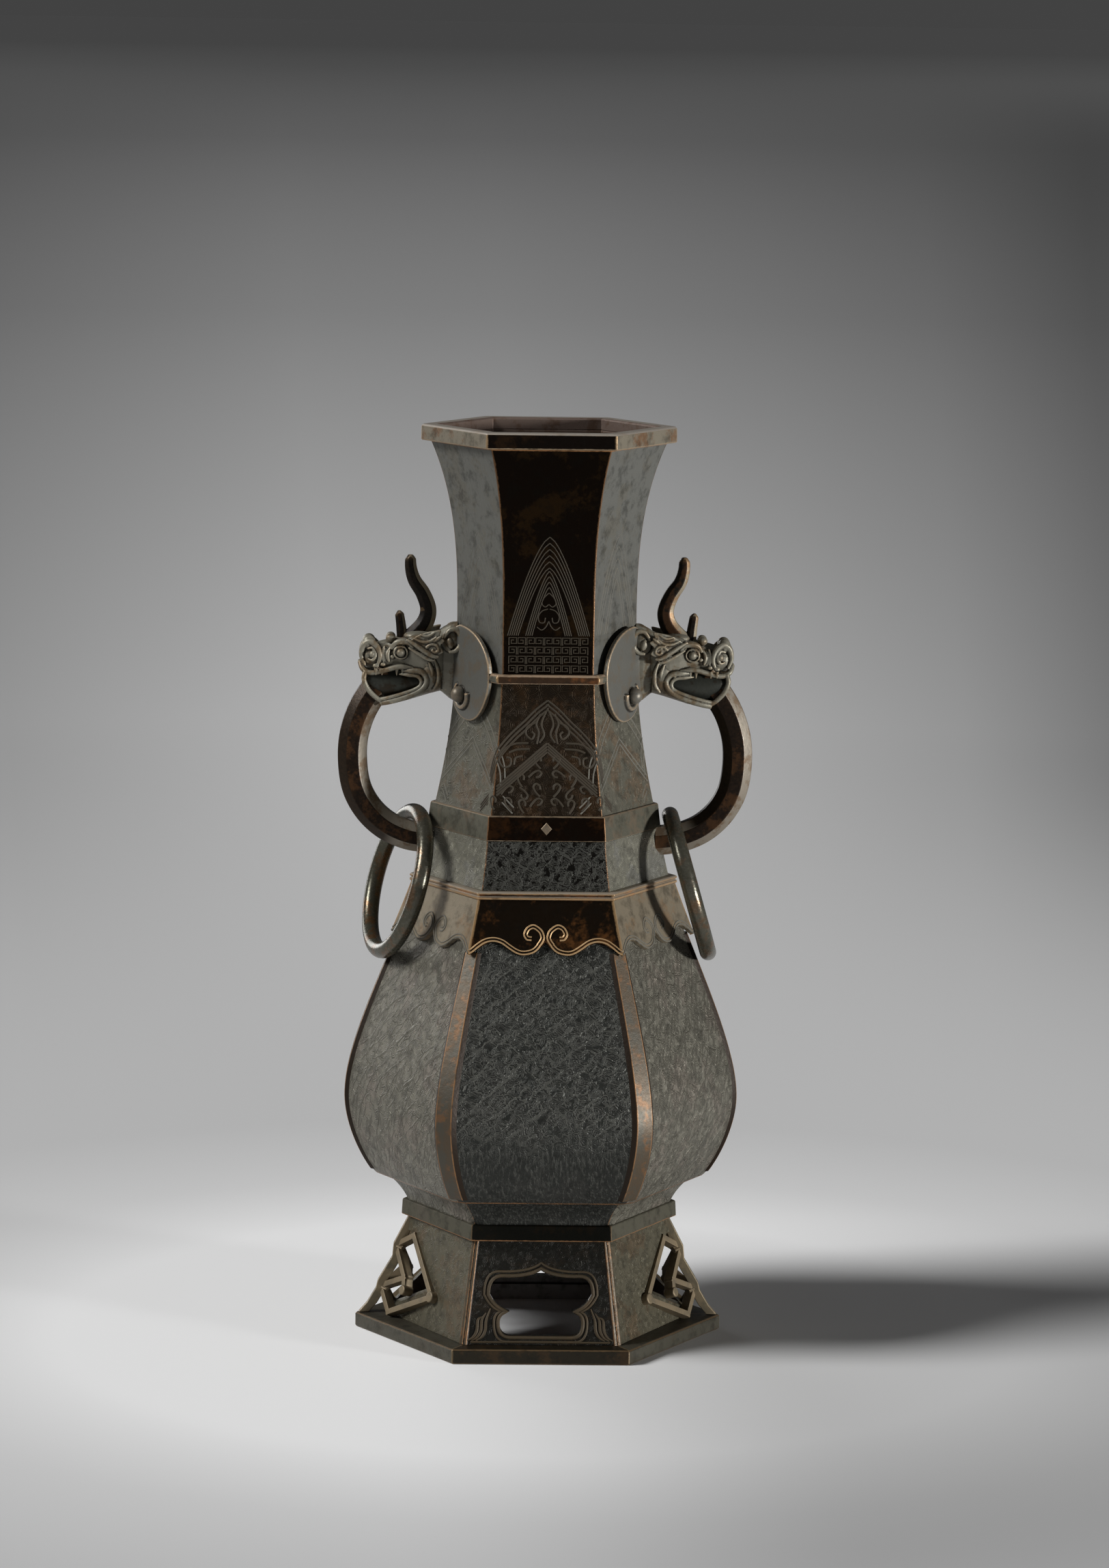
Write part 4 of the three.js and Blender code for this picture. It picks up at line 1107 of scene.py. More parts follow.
def make_belly():
    cove = [bezier(COVE, n / 8) for n in range(9)][::-1]
    outside = [*cove, (82.6, 79.0), *BELLY_SHAPE]
    spigot = [(57.3, COLLAR_TOP), (57.3, LEDGE_TOP)]
    inside = [(57.2, FLANGE_TOP), (57.2, 72), (62.4, 72), (62.4, 76.4), (75, 85)]
    inside += [(belly_radius(z) - 4.4, z) for z in steps(92, 208, 20)]
    inside += [(53.5, 221), (53.5, LEDGE_TOP)]
    cut_flat = RIB_FLAT * cove[0][0] / BELLY_RADIUS
    belly_cast = hex_wall("belly_cast", outside + spigot, inside, cut_flat)
    soften(belly_cast, 0.3, 2, 50)
    settle(belly_cast, belly_finish, "belly", inner=inner_finish)


def make_belly_ribs():
    profile = [(rib_crest(z), z) for z in steps(81.0, 200.4, 48)]
    share = profile[0][0] / BELLY_RADIUS
    strip = corner_strip("belly_rib", RIB_FLAT * share, RIB_BASE * share, RIB_DEPTH * share,
                         profile)
    soften(strip, 0.32, 2, 25)
    strips = [turned(copy_of(strip, "belly_rib"), corner * 60) for corner in range(6)]
    bpy.data.objects.remove(strip)
    settle(weld("belly_ribs", strips), rib_finish)


COLLAR_DROP = 25.4
COLLAR_LIFT = 2.655
# Half of the collar's edge, from a corner to the cusp in the middle: across, and above its tip
EDGE_HALF = 39.6
SCALLOP = [(EDGE_HALF, 0.3), (37.5, 1.2), (34.5, 3.4), (31, 5.4), (27, 6.1), (23, 5.2), (19.2, 2.9),
           (15.6, 0.9), (12.3, 0.0), (8.5, 0.3), (5.2, 1.5), (2.6, 3.6), (0, 6.4)]
# The scroll that a line on the collar runs into beside the cusp
CURL = [(2.4, 4.1), (0.5, 7.0), (0.45, 9.6), (2.0, 12.4), (5.8, 14.6), (9.4, 13.2), (11.1, 9.8),
        (9.6, 7.0), (7.0, 6.5)]


def scallop(across, half):
    """Height of the collar's lower edge above its lowest point."""
    x = abs(across) * EDGE_HALF / half
    for (x1, y1), (x0, y0) in zip(SCALLOP, SCALLOP[1:]):
        if x0 <= x <= x1:
            share = (x - x0) / (x1 - x0)
            return mix(y0, y1, share * share * (3 - 2 * share) if x0 else share)
    return SCALLOP[0][1]


def collar_radius(z):
    return belly_radius(z) + COLLAR_LIFT


def make_collar():
    low = COLLAR_TOP - COLLAR_DROP
    half_low = collar_radius(low) / 2
    collar = hexagon("lappet_collar_cast", collar_radius(low), low)
    bpy.ops.mesh.subdivide(number_cuts=71)
    levels = steps(low, COLLAR_TOP, 14)
    extrude_through([(collar_radius(z), z) for z in levels])
    bpy.ops.object.mode_set(mode="OBJECT")
    for vertex in collar.data.vertices:
        height = vertex.co.z
        face = math.floor(math.degrees(math.atan2(vertex.co.y, vertex.co.x)) / 60 + 1e-4) * 60 + 30
        angle = math.radians(face)
        along = vertex.co.y * math.cos(angle) - vertex.co.x * math.sin(angle)
        share = along * 2 / collar_radius(height)
        bottom = low + scallop(share * half_low, half_low)
        lifted = mix(bottom, COLLAR_TOP, (height - low) / (COLLAR_TOP - low))
        scale = collar_radius(lifted) / collar_radius(height)
        vertex.co = (vertex.co.x * scale, vertex.co.y * scale, lifted)
    face_out(collar)
    thick = collar.modifiers.new("thickness", "SOLIDIFY")
    thick.thickness = 1.9
    thick.offset = -1
    thick.use_even_offset = True
    apply_all(collar)
    soften(collar, 0.3, 2, 50)
    settle(collar, collar_finish, "lappet_collar", inner=inner_finish)
    front, sides = [], []
    edge = flat_spline(SCALLOP[:-2] + CURL, 6)
    start_of_curl = 6 * len(SCALLOP[:-2])
    for face in FACES:
        lines = front if face in (FRONT, BACK) else sides
        for hand in (-1, 1):
            for inset, radius in ((0.5, 0.42), (2.0, 0.34)):
                path = offset_line(edge, -inset)
                points = [on_wall(face, hand * x * (half_low / EDGE_HALF if n < start_of_curl else 1)
                                  * 0.985, low + z, collar_radius)
                          for n, (x, z) in enumerate(path)]
                lines.append(bead("edge_line", points, radius, sides=2))
    settle(weld("collar_lines", front), collar_line_finish)
    settle(weld("collar_side_lines", sides), side_line_finish)


def make_ledge():
    outside = [(65.0, COLLAR_TOP), (65.8, COLLAR_TOP + 0.5), (65.8, COLLAR_TOP + 1.5),
               (65.0, COLLAR_TOP + 1.8), (65.0, COLLAR_TOP + 2.3), (65.8, COLLAR_TOP + 2.6),
               (65.8, COLLAR_TOP + 3.4), (65.0, LEDGE_TOP)]
    ledge = hex_wall("shoulder_ledge_cast", outside, [(57.7, COLLAR_TOP), (57.7, LEDGE_TOP)])
    soften(ledge, 0.18, 2)
    settle(ledge, ledge_finish, "shoulder_ledge", inner=inner_finish)


def make_shoulder():
    spigot, bore, spigot_top = 54.2, 47.0, 258.6
    outside = [(shoulder_radius(z), z) for z in steps(LEDGE_TOP, BAND_FOOT, 14)]
    outside += [(spigot, BAND_FOOT), (spigot, spigot_top)]
    inside = [(shoulder_radius(z) - WALL, z) for z in steps(LEDGE_TOP, BAND_FOOT - 4, 6)]
    inside += [(bore, BAND_FOOT), (bore, spigot_top)]
    shoulder = hex_wall("shoulder_cast", outside, inside)
    soften(shoulder, 0.4, 2)
    settle(shoulder, shoulder_finish, "shoulder", inner=inner_finish)


def make_band():
    outside = [(57.4, BAND_FOOT), (56.0, BAND_TOP - 0.8), (55.7, BAND_TOP - 0.3), (55.2, BAND_TOP)]
    band = hex_wall("neck_band_cast", outside, [(54.3, BAND_FOOT), (53.9, BAND_TOP)])
    soften(band, 0.35, 2)
    settle(band, band_finish, "neck_band", inner=inner_finish)
    stud = plate_from("stud", [(2.7, 258.8), (0, 261.9), (-2.7, 258.8), (0, 255.7)], 1.2, 0.45)
    studs = []
    for turn in (0, 180):
        twin = copy_of(stud, "stud")
        twin.data.transform(Matrix.Translation((0, -56.7 * COS30, 0)))
        studs.append(turned(twin, turn))
    bpy.data.objects.remove(stud)
    settle(weld("band_studs", studs), stud_finish)


# Neck and mouth

def make_lower_neck():
    foot, top = 258.8, 330.2
    outside = [(54.0, foot), (54.0, BAND_TOP - 0.4)]
    outside += [(lower_neck_radius(z), z) for z in steps(BAND_TOP, STRING_FOOT, 26)]
    outside += [(43.8, STRING_FOOT), (43.8, top)]
    inside = [(50.2, foot), (50.2, 267.7)]
    inside += [(lower_neck_radius(z) - WALL, z) for z in steps(270.8, 323, 10)]
    inside += [(36.7, 327), (36.7, top)]
    neck = hex_wall("lower_neck_cast", outside, inside)
    soften(neck, 0.4, 2)
    settle(neck, lower_neck_finish, "lower_neck", inner=inner_finish)


def make_string():
    outside = [(48.4, STRING_FOOT), (49.6, STRING_FOOT + 1.4), (49.6, STRING_TOP - 1.4),
               (48.4, STRING_TOP)]
    string = hex_wall("neck_string_cast", outside, [(45.3, STRING_FOOT), (45.3, STRING_TOP)])
    soften(string, 0.4, 3)
    settle(string, string_finish, "neck_string", inner=inner_finish)


def make_upper_neck():
    outside = [(NECK_RADIUS, 330.4), (NECK_RADIUS, 349.6)]
    outside += [(upper_neck_radius(z), z) for z in steps(350.1, LIP_FOOT, 40)]
    outside += [(57.6, LIP_FOOT + 2)]
    inside = [(radius - WALL, z) for radius, z in outside]
    neck = hex_wall("upper_neck_cast", outside, inside)
    soften(neck, 0.4, 2)
    settle(neck, neck_finish, "upper_neck", inner=inner_finish)


def make_rim():
    outside = [(61.8, LIP_FOOT), (62.3, LIP_FOOT + 0.5), (62.2, VASE_TOP - 0.9), (61.3, VASE_TOP)]
    inside = [(57.95, LIP_FOOT), (57.95, LIP_FOOT + 2), (53.76, LIP_FOOT + 2.05),
              (53.76, VASE_TOP - 0.8), (54.8, VASE_TOP)]
    rim = hex_wall("mouth_rim_cast", outside, inside)
    soften(rim, 0.8, 3)
    settle(rim, rim_finish, "mouth_rim", inner=inner_finish)


def blade_beads(face, lines, radius, thickness, sunk=0.35):
    """Raised lines on a wall. Each line is points across and up, drawn on both halves of a face."""
    beads = []
    for line in lines:
        for hand in (-1, 1):
            points = [on_wall(face, hand * x, z, radius, -sunk * thickness) for x, z in line]
            beads.append(bead("blade", points, thickness, sides=2))
    return beads


def pointed(apex, foot, half, bulge):
    """Half of a pointed blade, from its apex down to its foot."""
    return [(half * share ** bulge, mix(apex, foot, share)) for share in steps(0, 1, 22)]


def make_upper_blades():
    outer = [pointed(399.1 - 3.0 * n, 351.2, 19.7 - 1.0 * n, 0.68) for n in range(6)]
    inner = [pointed(382.5 - 2.6 * n, 351.2, 11.0 - 1.0 * n, 0.74) for n in range(4)]
    figures = [[(0, 372), (2.4, 369.6), (3.4, 366.8), (1.8, 365.2), (0, 366.4)],
               [(0.4, 364.2), (3.2, 363.2), (5.0, 360.6), (4.4, 357.8), (2.2, 357.6), (1.6, 360)],
               [(0, 358.2), (1.4, 355.4), (3.4, 354.0), (5.6, 355.4)]]
    front, sides = [], []
    for face in FACES:
        if face in (FRONT, BACK):
            lines = outer + inner + [flat_spline(figure) for figure in figures]
            front += blade_beads(face, lines, upper_neck_radius, 0.3)
            front += leiwen_rows(face, upper_neck_radius, (348.4, 343.9, 339.4, 334.9), 4.3, 19.4)
        else:
            sides += blade_beads(face, outer[::2] + inner[::2], upper_neck_radius, 0.3, 0.7)
    settle(weld("upper_blades", front), neck_line_finish)
    settle(weld("upper_side_blades", sides), side_line_finish)


def leiwen_rows(face, radius, heights, size, reach):
    """Rows of squared spirals, alternately handed."""
    lines = []
    count = int(2 * reach / size)
    margin = reach - count * size / 2
    for row, height in enumerate(heights):
        for column in range(count):
            centre = -reach + margin + size * (column + 0.5)
            hand = -1 if (row + column) % 2 else 1
            s = size * 0.42
            square = [(-s, -s), (-s, s), (s, s), (s, -0.55 * s), (-0.4 * s, -0.55 * s),
                      (-0.4 * s, 0.35 * s), (0.35 * s, 0.35 * s)]
            points = [on_wall(face, centre + hand * x, height + z, radius) for x, z in square]
            lines.append(bead("leiwen", points, 0.3, sides=1))
    return lines


# The lower neck's blades and scrolls, by distance from a face's middle and height
LOWER_OUTER = [(0.0, 320.0), (5.5, 315.6), (11, 310), (16.4, 305), (21.5, 299.4), (25.4, 294),
               (28, 288.5), (29.4, 282.5)]
LOWER_INNER = [(0.0, 299.4), (11.5, 289.3), (24, 278.6), (31, 273.2), (36.6, 268.5)]
LOWER_FIGURES = [
    [(0.8, 314.6), (2.9, 308.6), (1.6, 303.4), (3.8, 299.6)],
    [(3.4, 313.4), (5.4, 308.6), (4.2, 304.4), (5.0, 299.0)],
    [(5.2, 309.4), (9.4, 307.4), (10.4, 303.8), (7.6, 301.2), (6.2, 303.4), (7.6, 305.0)],
    [(9.0, 299.4), (15.6, 299.0), (20.6, 296.4), (23.2, 291.8), (21.2, 287.8), (17.8, 288.6),
     (17.6, 291.8), (19.6, 292.6)],
    [(8.4, 296.6), (14.5, 296.2), (18.4, 294.8)],
    [(11.8, 293.2), (15.2, 292.2), (16.0, 289.0)],
]
# Hooked strokes: the middle of each, and how far it is turned
LOWER_CURLS = [(4.0, 290.6, 50), (5.4, 284.0, 140), (12.2, 281.8, 60), (4.2, 277.2, 50),
               (18.8, 276.4, 130), (11.6, 275.0, 220), (4.8, 270.6, 130), (18.0, 270.4, 50),
               (25.6, 271.0, 60), (11.4, 269.4, 60)]


def make_lower_blades():
    front, sides = [], []
    outer = [[(x - 0.7 * n if x > 1 else 0, z - 1.8 * n) for x, z in flat_spline(LOWER_OUTER, 4)]
             for n in range(3)]
    inner = [[(x, z - 1.4 * n) for x, z in LOWER_INNER if z - 1.4 * n > BAND_TOP + 0.6]
             for n in range(4)]
    figures = [flat_spline(figure) for figure in LOWER_FIGURES]
    figures += [hook_line(x, z, 3.0, turn) for x, z, turn in LOWER_CURLS]
    for face in FACES:
        if face in (FRONT, BACK):
            front += blade_beads(face, outer + inner + figures, lower_neck_radius, 0.62, 0.5)
        else:
            sides += blade_beads(face, [outer[0], outer[2], inner[0], inner[2]],
                                 lower_neck_radius, 0.5, 0.65)
    settle(weld("lower_blades", front), neck_line_finish)
    settle(weld("lower_side_blades", sides), side_line_finish)


def hook_line(x, z, size, turn):
    """A stroke with a hooked end, around a centre across and up."""
    c, s = math.cos(math.radians(turn)), math.sin(math.radians(turn))
    stroke = [(-1.1, -0.5), (0, -0.55), (0.8, -0.3), (0.9, 0.35), (0.3, 0.55), (-0.2, 0.25)]
    return flat_spline([(x + size * (a * c - b * s), z + size * (a * s + b * c))
                        for a, b in stroke], 4)


# Handles, rings and dragons

HANDLE_PATH = [(77, 328), (83.5, 320), (89.8, 309.5), (93.7, 297), (94.3, 284), (92.1, 271),
               (86.3, 260.5), (78, 252.8), (68.3, 248.3), (60, 246.7), (50, 246.0)]
HANDLE_END = 54.5
RING_RADIUS, RING_BAR = 35, 4.1
# Where a ring touches the bar that it hangs on, how it leans there and how far the left one turns
RING_HANG = (62, 258.4)
RING_LEAN = 0.282
LEFT_TWIST = 16


def make_handle(side, turn):
    """Eight-sided bar from the dragon's mouth to the shoulder."""
    edge = 1 / math.cos(math.pi / 8)
    stations = path_stations(HANDLE_PATH, 8, lambda t: 7.15 * edge, lambda t: 6.5 * edge)
    handle = sweep("handle_loop_cast_" + side, 8, stations, turn=22.5)
    soften(handle, 0.45, 2, 30)
    edit(handle)
    bpy.ops.mesh.bisect(plane_co=(HANDLE_END, 0, 0), plane_no=(-1, 0, 0), clear_outer=True,
                        use_fill=True)
    bpy.ops.object.mode_set(mode="OBJECT")
    turned(handle, turn)
    settle(handle, handle_finish, "handle_loop_" + side)


def make_ring(side, turn, twist):
    clear_bench()
    bpy.ops.mesh.primitive_torus_add(major_radius=RING_RADIUS, minor_radius=RING_BAR,
                                     major_segments=120, minor_segments=28)
    ring = named("ring_cast_" + side)
    ring.data.transform(Matrix.Rotation(math.pi / 2, 4, "X"))
    ring.data.transform(Matrix.Rotation(math.pi / 2 + math.radians(twist), 4, "Z"))
    ring.data.transform(Matrix.Rotation(-RING_LEAN, 4, "Y"))
    x = RING_HANG[0] + RING_RADIUS * math.sin(RING_LEAN)
    z = RING_HANG[1] - RING_RADIUS * math.cos(RING_LEAN)
    ring.data.transform(Matrix.Translation((x, 0, z)))
    turned(ring, turn)
    settle(ring, ring_finish, "ring_" + side, body="ring_" + side, joins=60)


# The dragon's profile: reach, bottom, top and half width of each section
SKULL = [(43.5, 313.6, 353.6, 8.2), (47, 315.4, 352.8, 8.6), (50.6, 318.4, 350.8, 8.2),
         (52, 319.4, 349.8, 9.0), (55, 319.8, 348.6, 9.7), (60, 320.6, 347.6, 9.8),
         (65, 324, 347, 9.2), (69.5, 327.4, 346.4, 8.3), (74, 329.4, 345.6, 7.4),
         (79, 330.2, 343.4, 6.6), (84, 329.8, 342.4, 6.4), (88, 330.4, 341.4, 5.4),
         (90.4, 333, 339.4, 3.2)]
JAW = [(51.5, 319.4, 330, 8.6), (57, 318, 327, 9.2), (63, 316.2, 322, 9.0), (69, 314.3, 318.8, 8.3),
       (75, 313.1, 316.8, 7.4), (79.4, 313.4, 316.2, 6.0)]
MOUTH = [(58, 321, 329, 6.8), (64, 317.5, 330.6, 8.0), (72, 315, 331.2, 8.2),
         (79, 315, 331, 8.0), (84.5, 318, 330, 7.4), (88, 321.6, 328.6, 6.0)]
MANE = [(68.6, 343.4), (64, 347), (59.4, 349), (55, 350), (51.6, 350.4), (52.4, 347.4),
        (49.8, 345.4), (52, 342.8), (50.4, 339.8), (53, 338.2), (54.8, 336.8), (58.4, 338.8),
        (62.6, 341.2), (66.4, 342.6)]
EAR = [(50.2, 346.6), (47.6, 350.2), (44.2, 350.6), (41.8, 347.6), (41.9, 343.6), (44.4, 340.4),
       (47.8, 339.6)]

EYE_X, EYE_Z = 71.2, 338.8


def mane_side(x):
    """How far out the mane lies at this reach: it stands off the neck at the back."""
    return 9.2 + max(0, 68 - x) * 0.185


def ridge(name, line, radius, hand, side=None, taper=None):
    """A raised line on one side of the head, through points in X and Z.
    How far out it lies comes from side, or else third in each point."""
    points = [(x, hand * (side(x) if side else out[0]), z) for x, z, *out in line]
    return bead(name, spline_through(points, 6), radius, sides=3, taper=taper)


def swell(t):
    """Thickness of a line that is fullest in its middle."""
    return 0.5 + 0.6 * math.sin(math.pi * t)


def face_ridges(hand):
    """Lips, brow, mane lines and wrinkles of one side of the head."""
    on_mane = lambda x: mane_side(x) + 1.0
    on_ear = lambda x: 11.6
    return [
        ridge("lip", [(70.5, 330.0, 8.4), (66.5, 330.0, 9.0), (61.4, 329.6, 9.6),
                      (58.6, 327, 9.8), (58.9, 323.4, 9.8), (62.4, 319.8, 9.6),
                      (69.2, 316.8, 9.2), (76, 314.8, 8.4), (80.6, 313.8, 7.0)], 1.45, hand,
              taper=rise_and_hold),
        ridge("inner_lip", [(72, 328.2, 8.2), (68, 328.0, 8.9), (63.4, 327.6, 9.4),
                            (61.1, 325.6, 9.6), (61.4, 322.8, 9.6), (64.6, 320.6, 9.4),
                            (70.6, 318.4, 9.0), (77, 316.5, 8.4), (81, 315.6, 7.4)], 1.05, hand,
              taper=rise_and_hold),
        ridge("cuff", [(88.2, 329.4, 6.4), (89.0, 325.4, 7.2), (87.0, 320.6, 7.4),
                       (83.2, 316.6, 7.4), (78.6, 313.6, 6.8)], 1.25, hand),
        ridge("muzzle", [(65, 331.4, 9.0), (72.3, 331.8, 8.8), (79.3, 329.8, 7.9),
                         (85.7, 328.6, 6.9), (89.6, 330.2, 5.2), (91.0, 333.6, 2.4)], 1.3, hand,
              taper=rise_and_hold),
        ridge("brow", [(65.0, 340.4, 9.4), (66.6, 343.4, 9.3), (70.0, 344.4, 8.8),
                       (73.6, 343.4, 8.3), (75.8, 340.4, 7.6)], 1.5, hand, taper=swell),
        ridge("brow_line", [(68.4, 345.4), (64, 342.9), (59.4, 339.9), (55.2, 337.6),
                            (52.6, 337.4)], 1.2, hand, on_mane, swell),
        ridge("under_brow", [(67.4, 341.4), (62.4, 338.4), (57.4, 335.9), (54.4, 335.6)], 0.9,
              hand, lambda x: mane_side(x) + 0.4, swell),
        ridge("mane_fold", [(65, 346.2), (61, 344.6), (57, 344.8), (53.6, 347.2)], 0.8, hand,
              on_mane, swell),
        ridge("mane_fold", [(62, 348.0), (58, 347.4), (54.4, 349.4)], 0.7, hand, on_mane, swell),
        ridge("mane_scroll", [(58.8, 341.6), (56.4, 343.4), (53.6, 342.8), (52.8, 340.6),
                              (54.6, 339.6), (56.0, 340.8)], 0.75, hand, on_mane),
        ridge("ear", EAR, 1.35, hand, on_ear, swell),
        ridge("ear_line", [(51.4, 347.6), (53.2, 346.2), (55.4, 344.6)], 0.7, hand, on_mane, swell),
        ridge("cheek_fold", [(54.6, 335.4, 9.6), (52.8, 330, 9.6), (53.0, 324.4, 9.4),
                             (55.6, 320.4, 9.0)], 1.0, hand, taper=swell),
        ridge("cheek_fold", [(57.4, 334.4, 10.0), (55.8, 330, 10.0), (56.0, 326, 9.8)], 0.9,
              hand, taper=swell),
        ridge("wrinkle", [(76.2, 341.4, 6.9), (77.6, 337.6, 7.6), (76.8, 334.0, 7.9)], 0.95, hand,
              taper=swell),
        ridge("wrinkle", [(79.0, 341.8, 6.2), (80.2, 337.8, 7.2), (79.4, 334, 7.5)], 0.8, hand,
              taper=swell),
        ridge("nose_wing", [(82.4, 332.4, 7.2), (81.2, 336.6, 7.3), (82.6, 341.0, 6.6),
                            (86.2, 343.8, 5.6), (89.4, 341.6, 4.6), (90.4, 336.8, 4.2),
                            (88.6, 332, 5.0)], 1.5, hand, taper=swell),
        ridge("nose_scroll", [(87.4, 340.2, 5.8), (84.8, 340.6, 6.6), (83.4, 337.6, 7.2),
                              (84.8, 334.9, 7.2), (87.2, 335.4, 6.4)], 0.8, hand, taper=swell),
    ]


def rise_and_hold(t):
    """Thickness of a line that starts thin and soon is full."""
    return min(1.0, 0.3 + 5 * t)


def face_lumps(hand):
    """Cheek, temple, ear, eye and nostril of one side of the head."""
    return [
        lump("cheek", (57, hand * 6.8, 327.5), (5.2, 3.9, 7.6)),
        lump("temple", (62.5, hand * 6.4, 343.2), (6.4, 4.0, 4.6), (0, 8, 0)),
        lump("ear_root", (46.6, hand * 7.6, 345.0), (4.6, 4.0, 6.2)),
        lump("ear_drop", (47.2, hand * 11.2, 344.0), (1.7, 1.6, 2.8), (0, 14, 0)),
        lump("snout_side", (79, hand * 4.2, 336.6), (7.2, 3.8, 5.2)),
        lump("brow_knob", (76.2, hand * 4.2, 345.4), (2.4, 2.3, 2.2)),
        lump("nose_tip", (86.8, hand * 3.6, 343.2), (3.2, 3.0, 3.6)),
        lump("eye", (EYE_X, hand * 8.3, EYE_Z), (2.2, 2.4, 2.2)),
        lump("nostril", (84.9, hand * 6.4, 337.6), (1.6, 1.9, 1.8)),
        lump("lid_corner", (75.2, hand * 7.6, 336.6), (1.2, 1.0, 1.0)),
        lump("whisker_root", (83.2, hand * 7.0, 332.0), (1.6, 1.2, 1.2)),
        lump("whisker_root", (79.8, hand * 7.5, 332.8), (1.3, 1.0, 1.0)),
    ]


def teeth(hand):
    cones = []
    for reach in (67.4, 70.2, 73.0, 80.2, 83.2):
        clear_bench()
        bpy.ops.mesh.primitive_cone_add(vertices=12, radius1=1.0, radius2=0.2, depth=3.4,
                                        location=(reach, hand * 8.4, 329.2),
                                        rotation=(math.pi, 0, 0))
        cones.append(named("tooth"))
    return cones


def make_dragon(side, turn):
    parts = [loft("skull", SKULL), loft("jaw", JAW)]
    for hand in (-1, 1):
        mane = plate_from("mane", flat_spline(MANE + MANE[:1], 3), 2.2, 0.5)
        for vertex in mane.data.vertices:
            vertex.co.y += hand * mane_side(vertex.co.x)
        parts.append(mane)
        parts += face_ridges(hand) + face_lumps(hand) + teeth(hand)
        parts.append(bead("eyelid", [
            (EYE_X + 3.2 * math.cos(a), hand * 8.8, EYE_Z + 3.0 * math.sin(a))
            for a in [math.radians(10 * n) for n in range(36)]], 0.5, closed=True, sides=2))
    parts.append(lump("forehead", (62.5, 0, 346.4), (8.0, 7.4, 2.8)))
    parts.append(lump("nose_bridge", (79, 0, 341.6), (6.6, 3.2, 2.6), (0, 12, 0)))
    parts.append(lump("chin", (76.6, 0, 314.4), (3.4, 5.2, 1.9)))
    head = weld("dragon_head_cast_" + side, parts)
    face_out(head)
    recast(head, 0.36, 2)
    turned(head, turn)
    settle(head, head_finish, "dragon_head_" + side, joins=80)
    mouth = turned(loft("dragon_mouth_" + side, MOUTH, 32), turn)
    soften(mouth, 0.8, 3, 40)
    settle(mouth, mouth_finish, joins=60)


HORN = [(68.5, 343), (63.5, 347.5), (59.4, 353), (58.0, 359.5), (60.6, 367), (64.8, 373.5),
        (66.6, 379.5), (66.9, 386)]
TINE = [(70.2, 343), (70.8, 348), (71.4, 353), (72.3, 358.6)]


def horn_bar(name, path, deep, wide, end):
    """A horn with a flat face to either side and a long bevel on its outer edge."""
    stations = path_stations(path, 9, lambda t: deep(t) * min(1, 3.5 * (1.04 - t) / end),
                             lambda t: wide(t) * min(1, 4.5 * (1.04 - t) / end))
    horn = sweep(name, 8, stations, turn=22.5)
    return soften(horn, 0.5, 3, 30)


def make_horn(side, turn):
    horn = horn_bar("horn", HORN, lambda t: 5.4 - 2.6 * t, lambda t: 3.6 - 0.9 * t, 0.3)
    tine = horn_bar("tine", TINE, lambda t: 3.0 - 0.7 * t, lambda t: 3.0 - 0.8 * t, 0.5)
    horn = weld("dragon_horn_cast_" + side, [horn, tine])
    turned(horn, turn)
    settle(horn, horn_finish, "dragon_horn_" + side, joins=35)


RUFF_EDGE = [
    [(6, 340), (6, 353), (14, 353.4)],
    [(14, 353.4), (30, 352.5), (41.5, 343), (41.6, 331)],
    [(41.6, 331), (41.6, 320), (33, 307.4), (22, 307.2)],
    [(22, 307.2), (12, 307.2), (8, 313), (6, 318)],
]


def make_ruff(name, facing, turn):
    """Ear-shaped plate behind the head, curled around a ball at its lower end."""
    outline = [bezier(piece, n / 12) for piece in RUFF_EDGE for n in range(12)]
    parts = [plate_from("plate", [*outline, RUFF_EDGE[-1][-1]], 2.4, 0.6)]
    ball_x, ball_z = 16.2, 319.6
    parts.append(lump("ruff_ball", (ball_x, -3.0, ball_z), (3.8, 3.8, 4.0), segments=32, rings=20))
    roll = [(ball_x + 6.1 * math.cos(a), -1.6, ball_z + 6.3 * math.sin(a))
            for a in [math.radians(130 + 12 * n) for n in range(21)]]
    parts.append(bead("roll", roll, 1.5, sides=3, taper=lambda t: 0.4 + 0.6 * t))
    ruff = weld(name, parts)
    face_out(ruff)
    recast(ruff, 0.5, 2)
    face_angle = math.radians(30)
    out = Vector((math.cos(face_angle), facing * math.sin(face_angle), 0))
    along = Vector((-math.sin(face_angle), facing * math.cos(face_angle), 0))
    basis = Matrix((along, -out, Vector((0, 0, 1)))).transposed().to_4x4()
    start = Vector(((NECK_RADIUS * COS30 + 3) / COS30, 0, 0)) + out * 1.2
    ruff.data.transform(Matrix.Translation(start) @ basis)
    face_out(ruff)
    return turned(ruff, turn)


# Assembly

make_base_plate()
make_foot()
make_foot_ribs()
make_frets()
make_flange()
make_belly()
make_belly_ribs()
make_collar()
make_ledge()
make_shoulder()
make_band()
make_lower_neck()
make_string()
make_upper_neck()
make_rim()
make_upper_blades()
make_lower_blades()
for side, turn in HANDS:
    make_handle(side, turn)
    make_ring(side, turn, LEFT_TWIST if side == "left" else 0)
    make_dragon(side, turn)
    make_horn(side, turn)
    for end in ("front", "back"):
        facing = -1 if (end == "front") == (side == "right") else 1
        ruff = make_ruff(f"ruff_cast_{side}_{end}", facing, turn)
        settle(ruff, ruff_finish, f"ruff_{side}_{end}", joins=50)

floor_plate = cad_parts["belly_floor"]
floor_plate.data.materials.clear()
floor_plate.data.materials.append(inner_finish)


# Studio

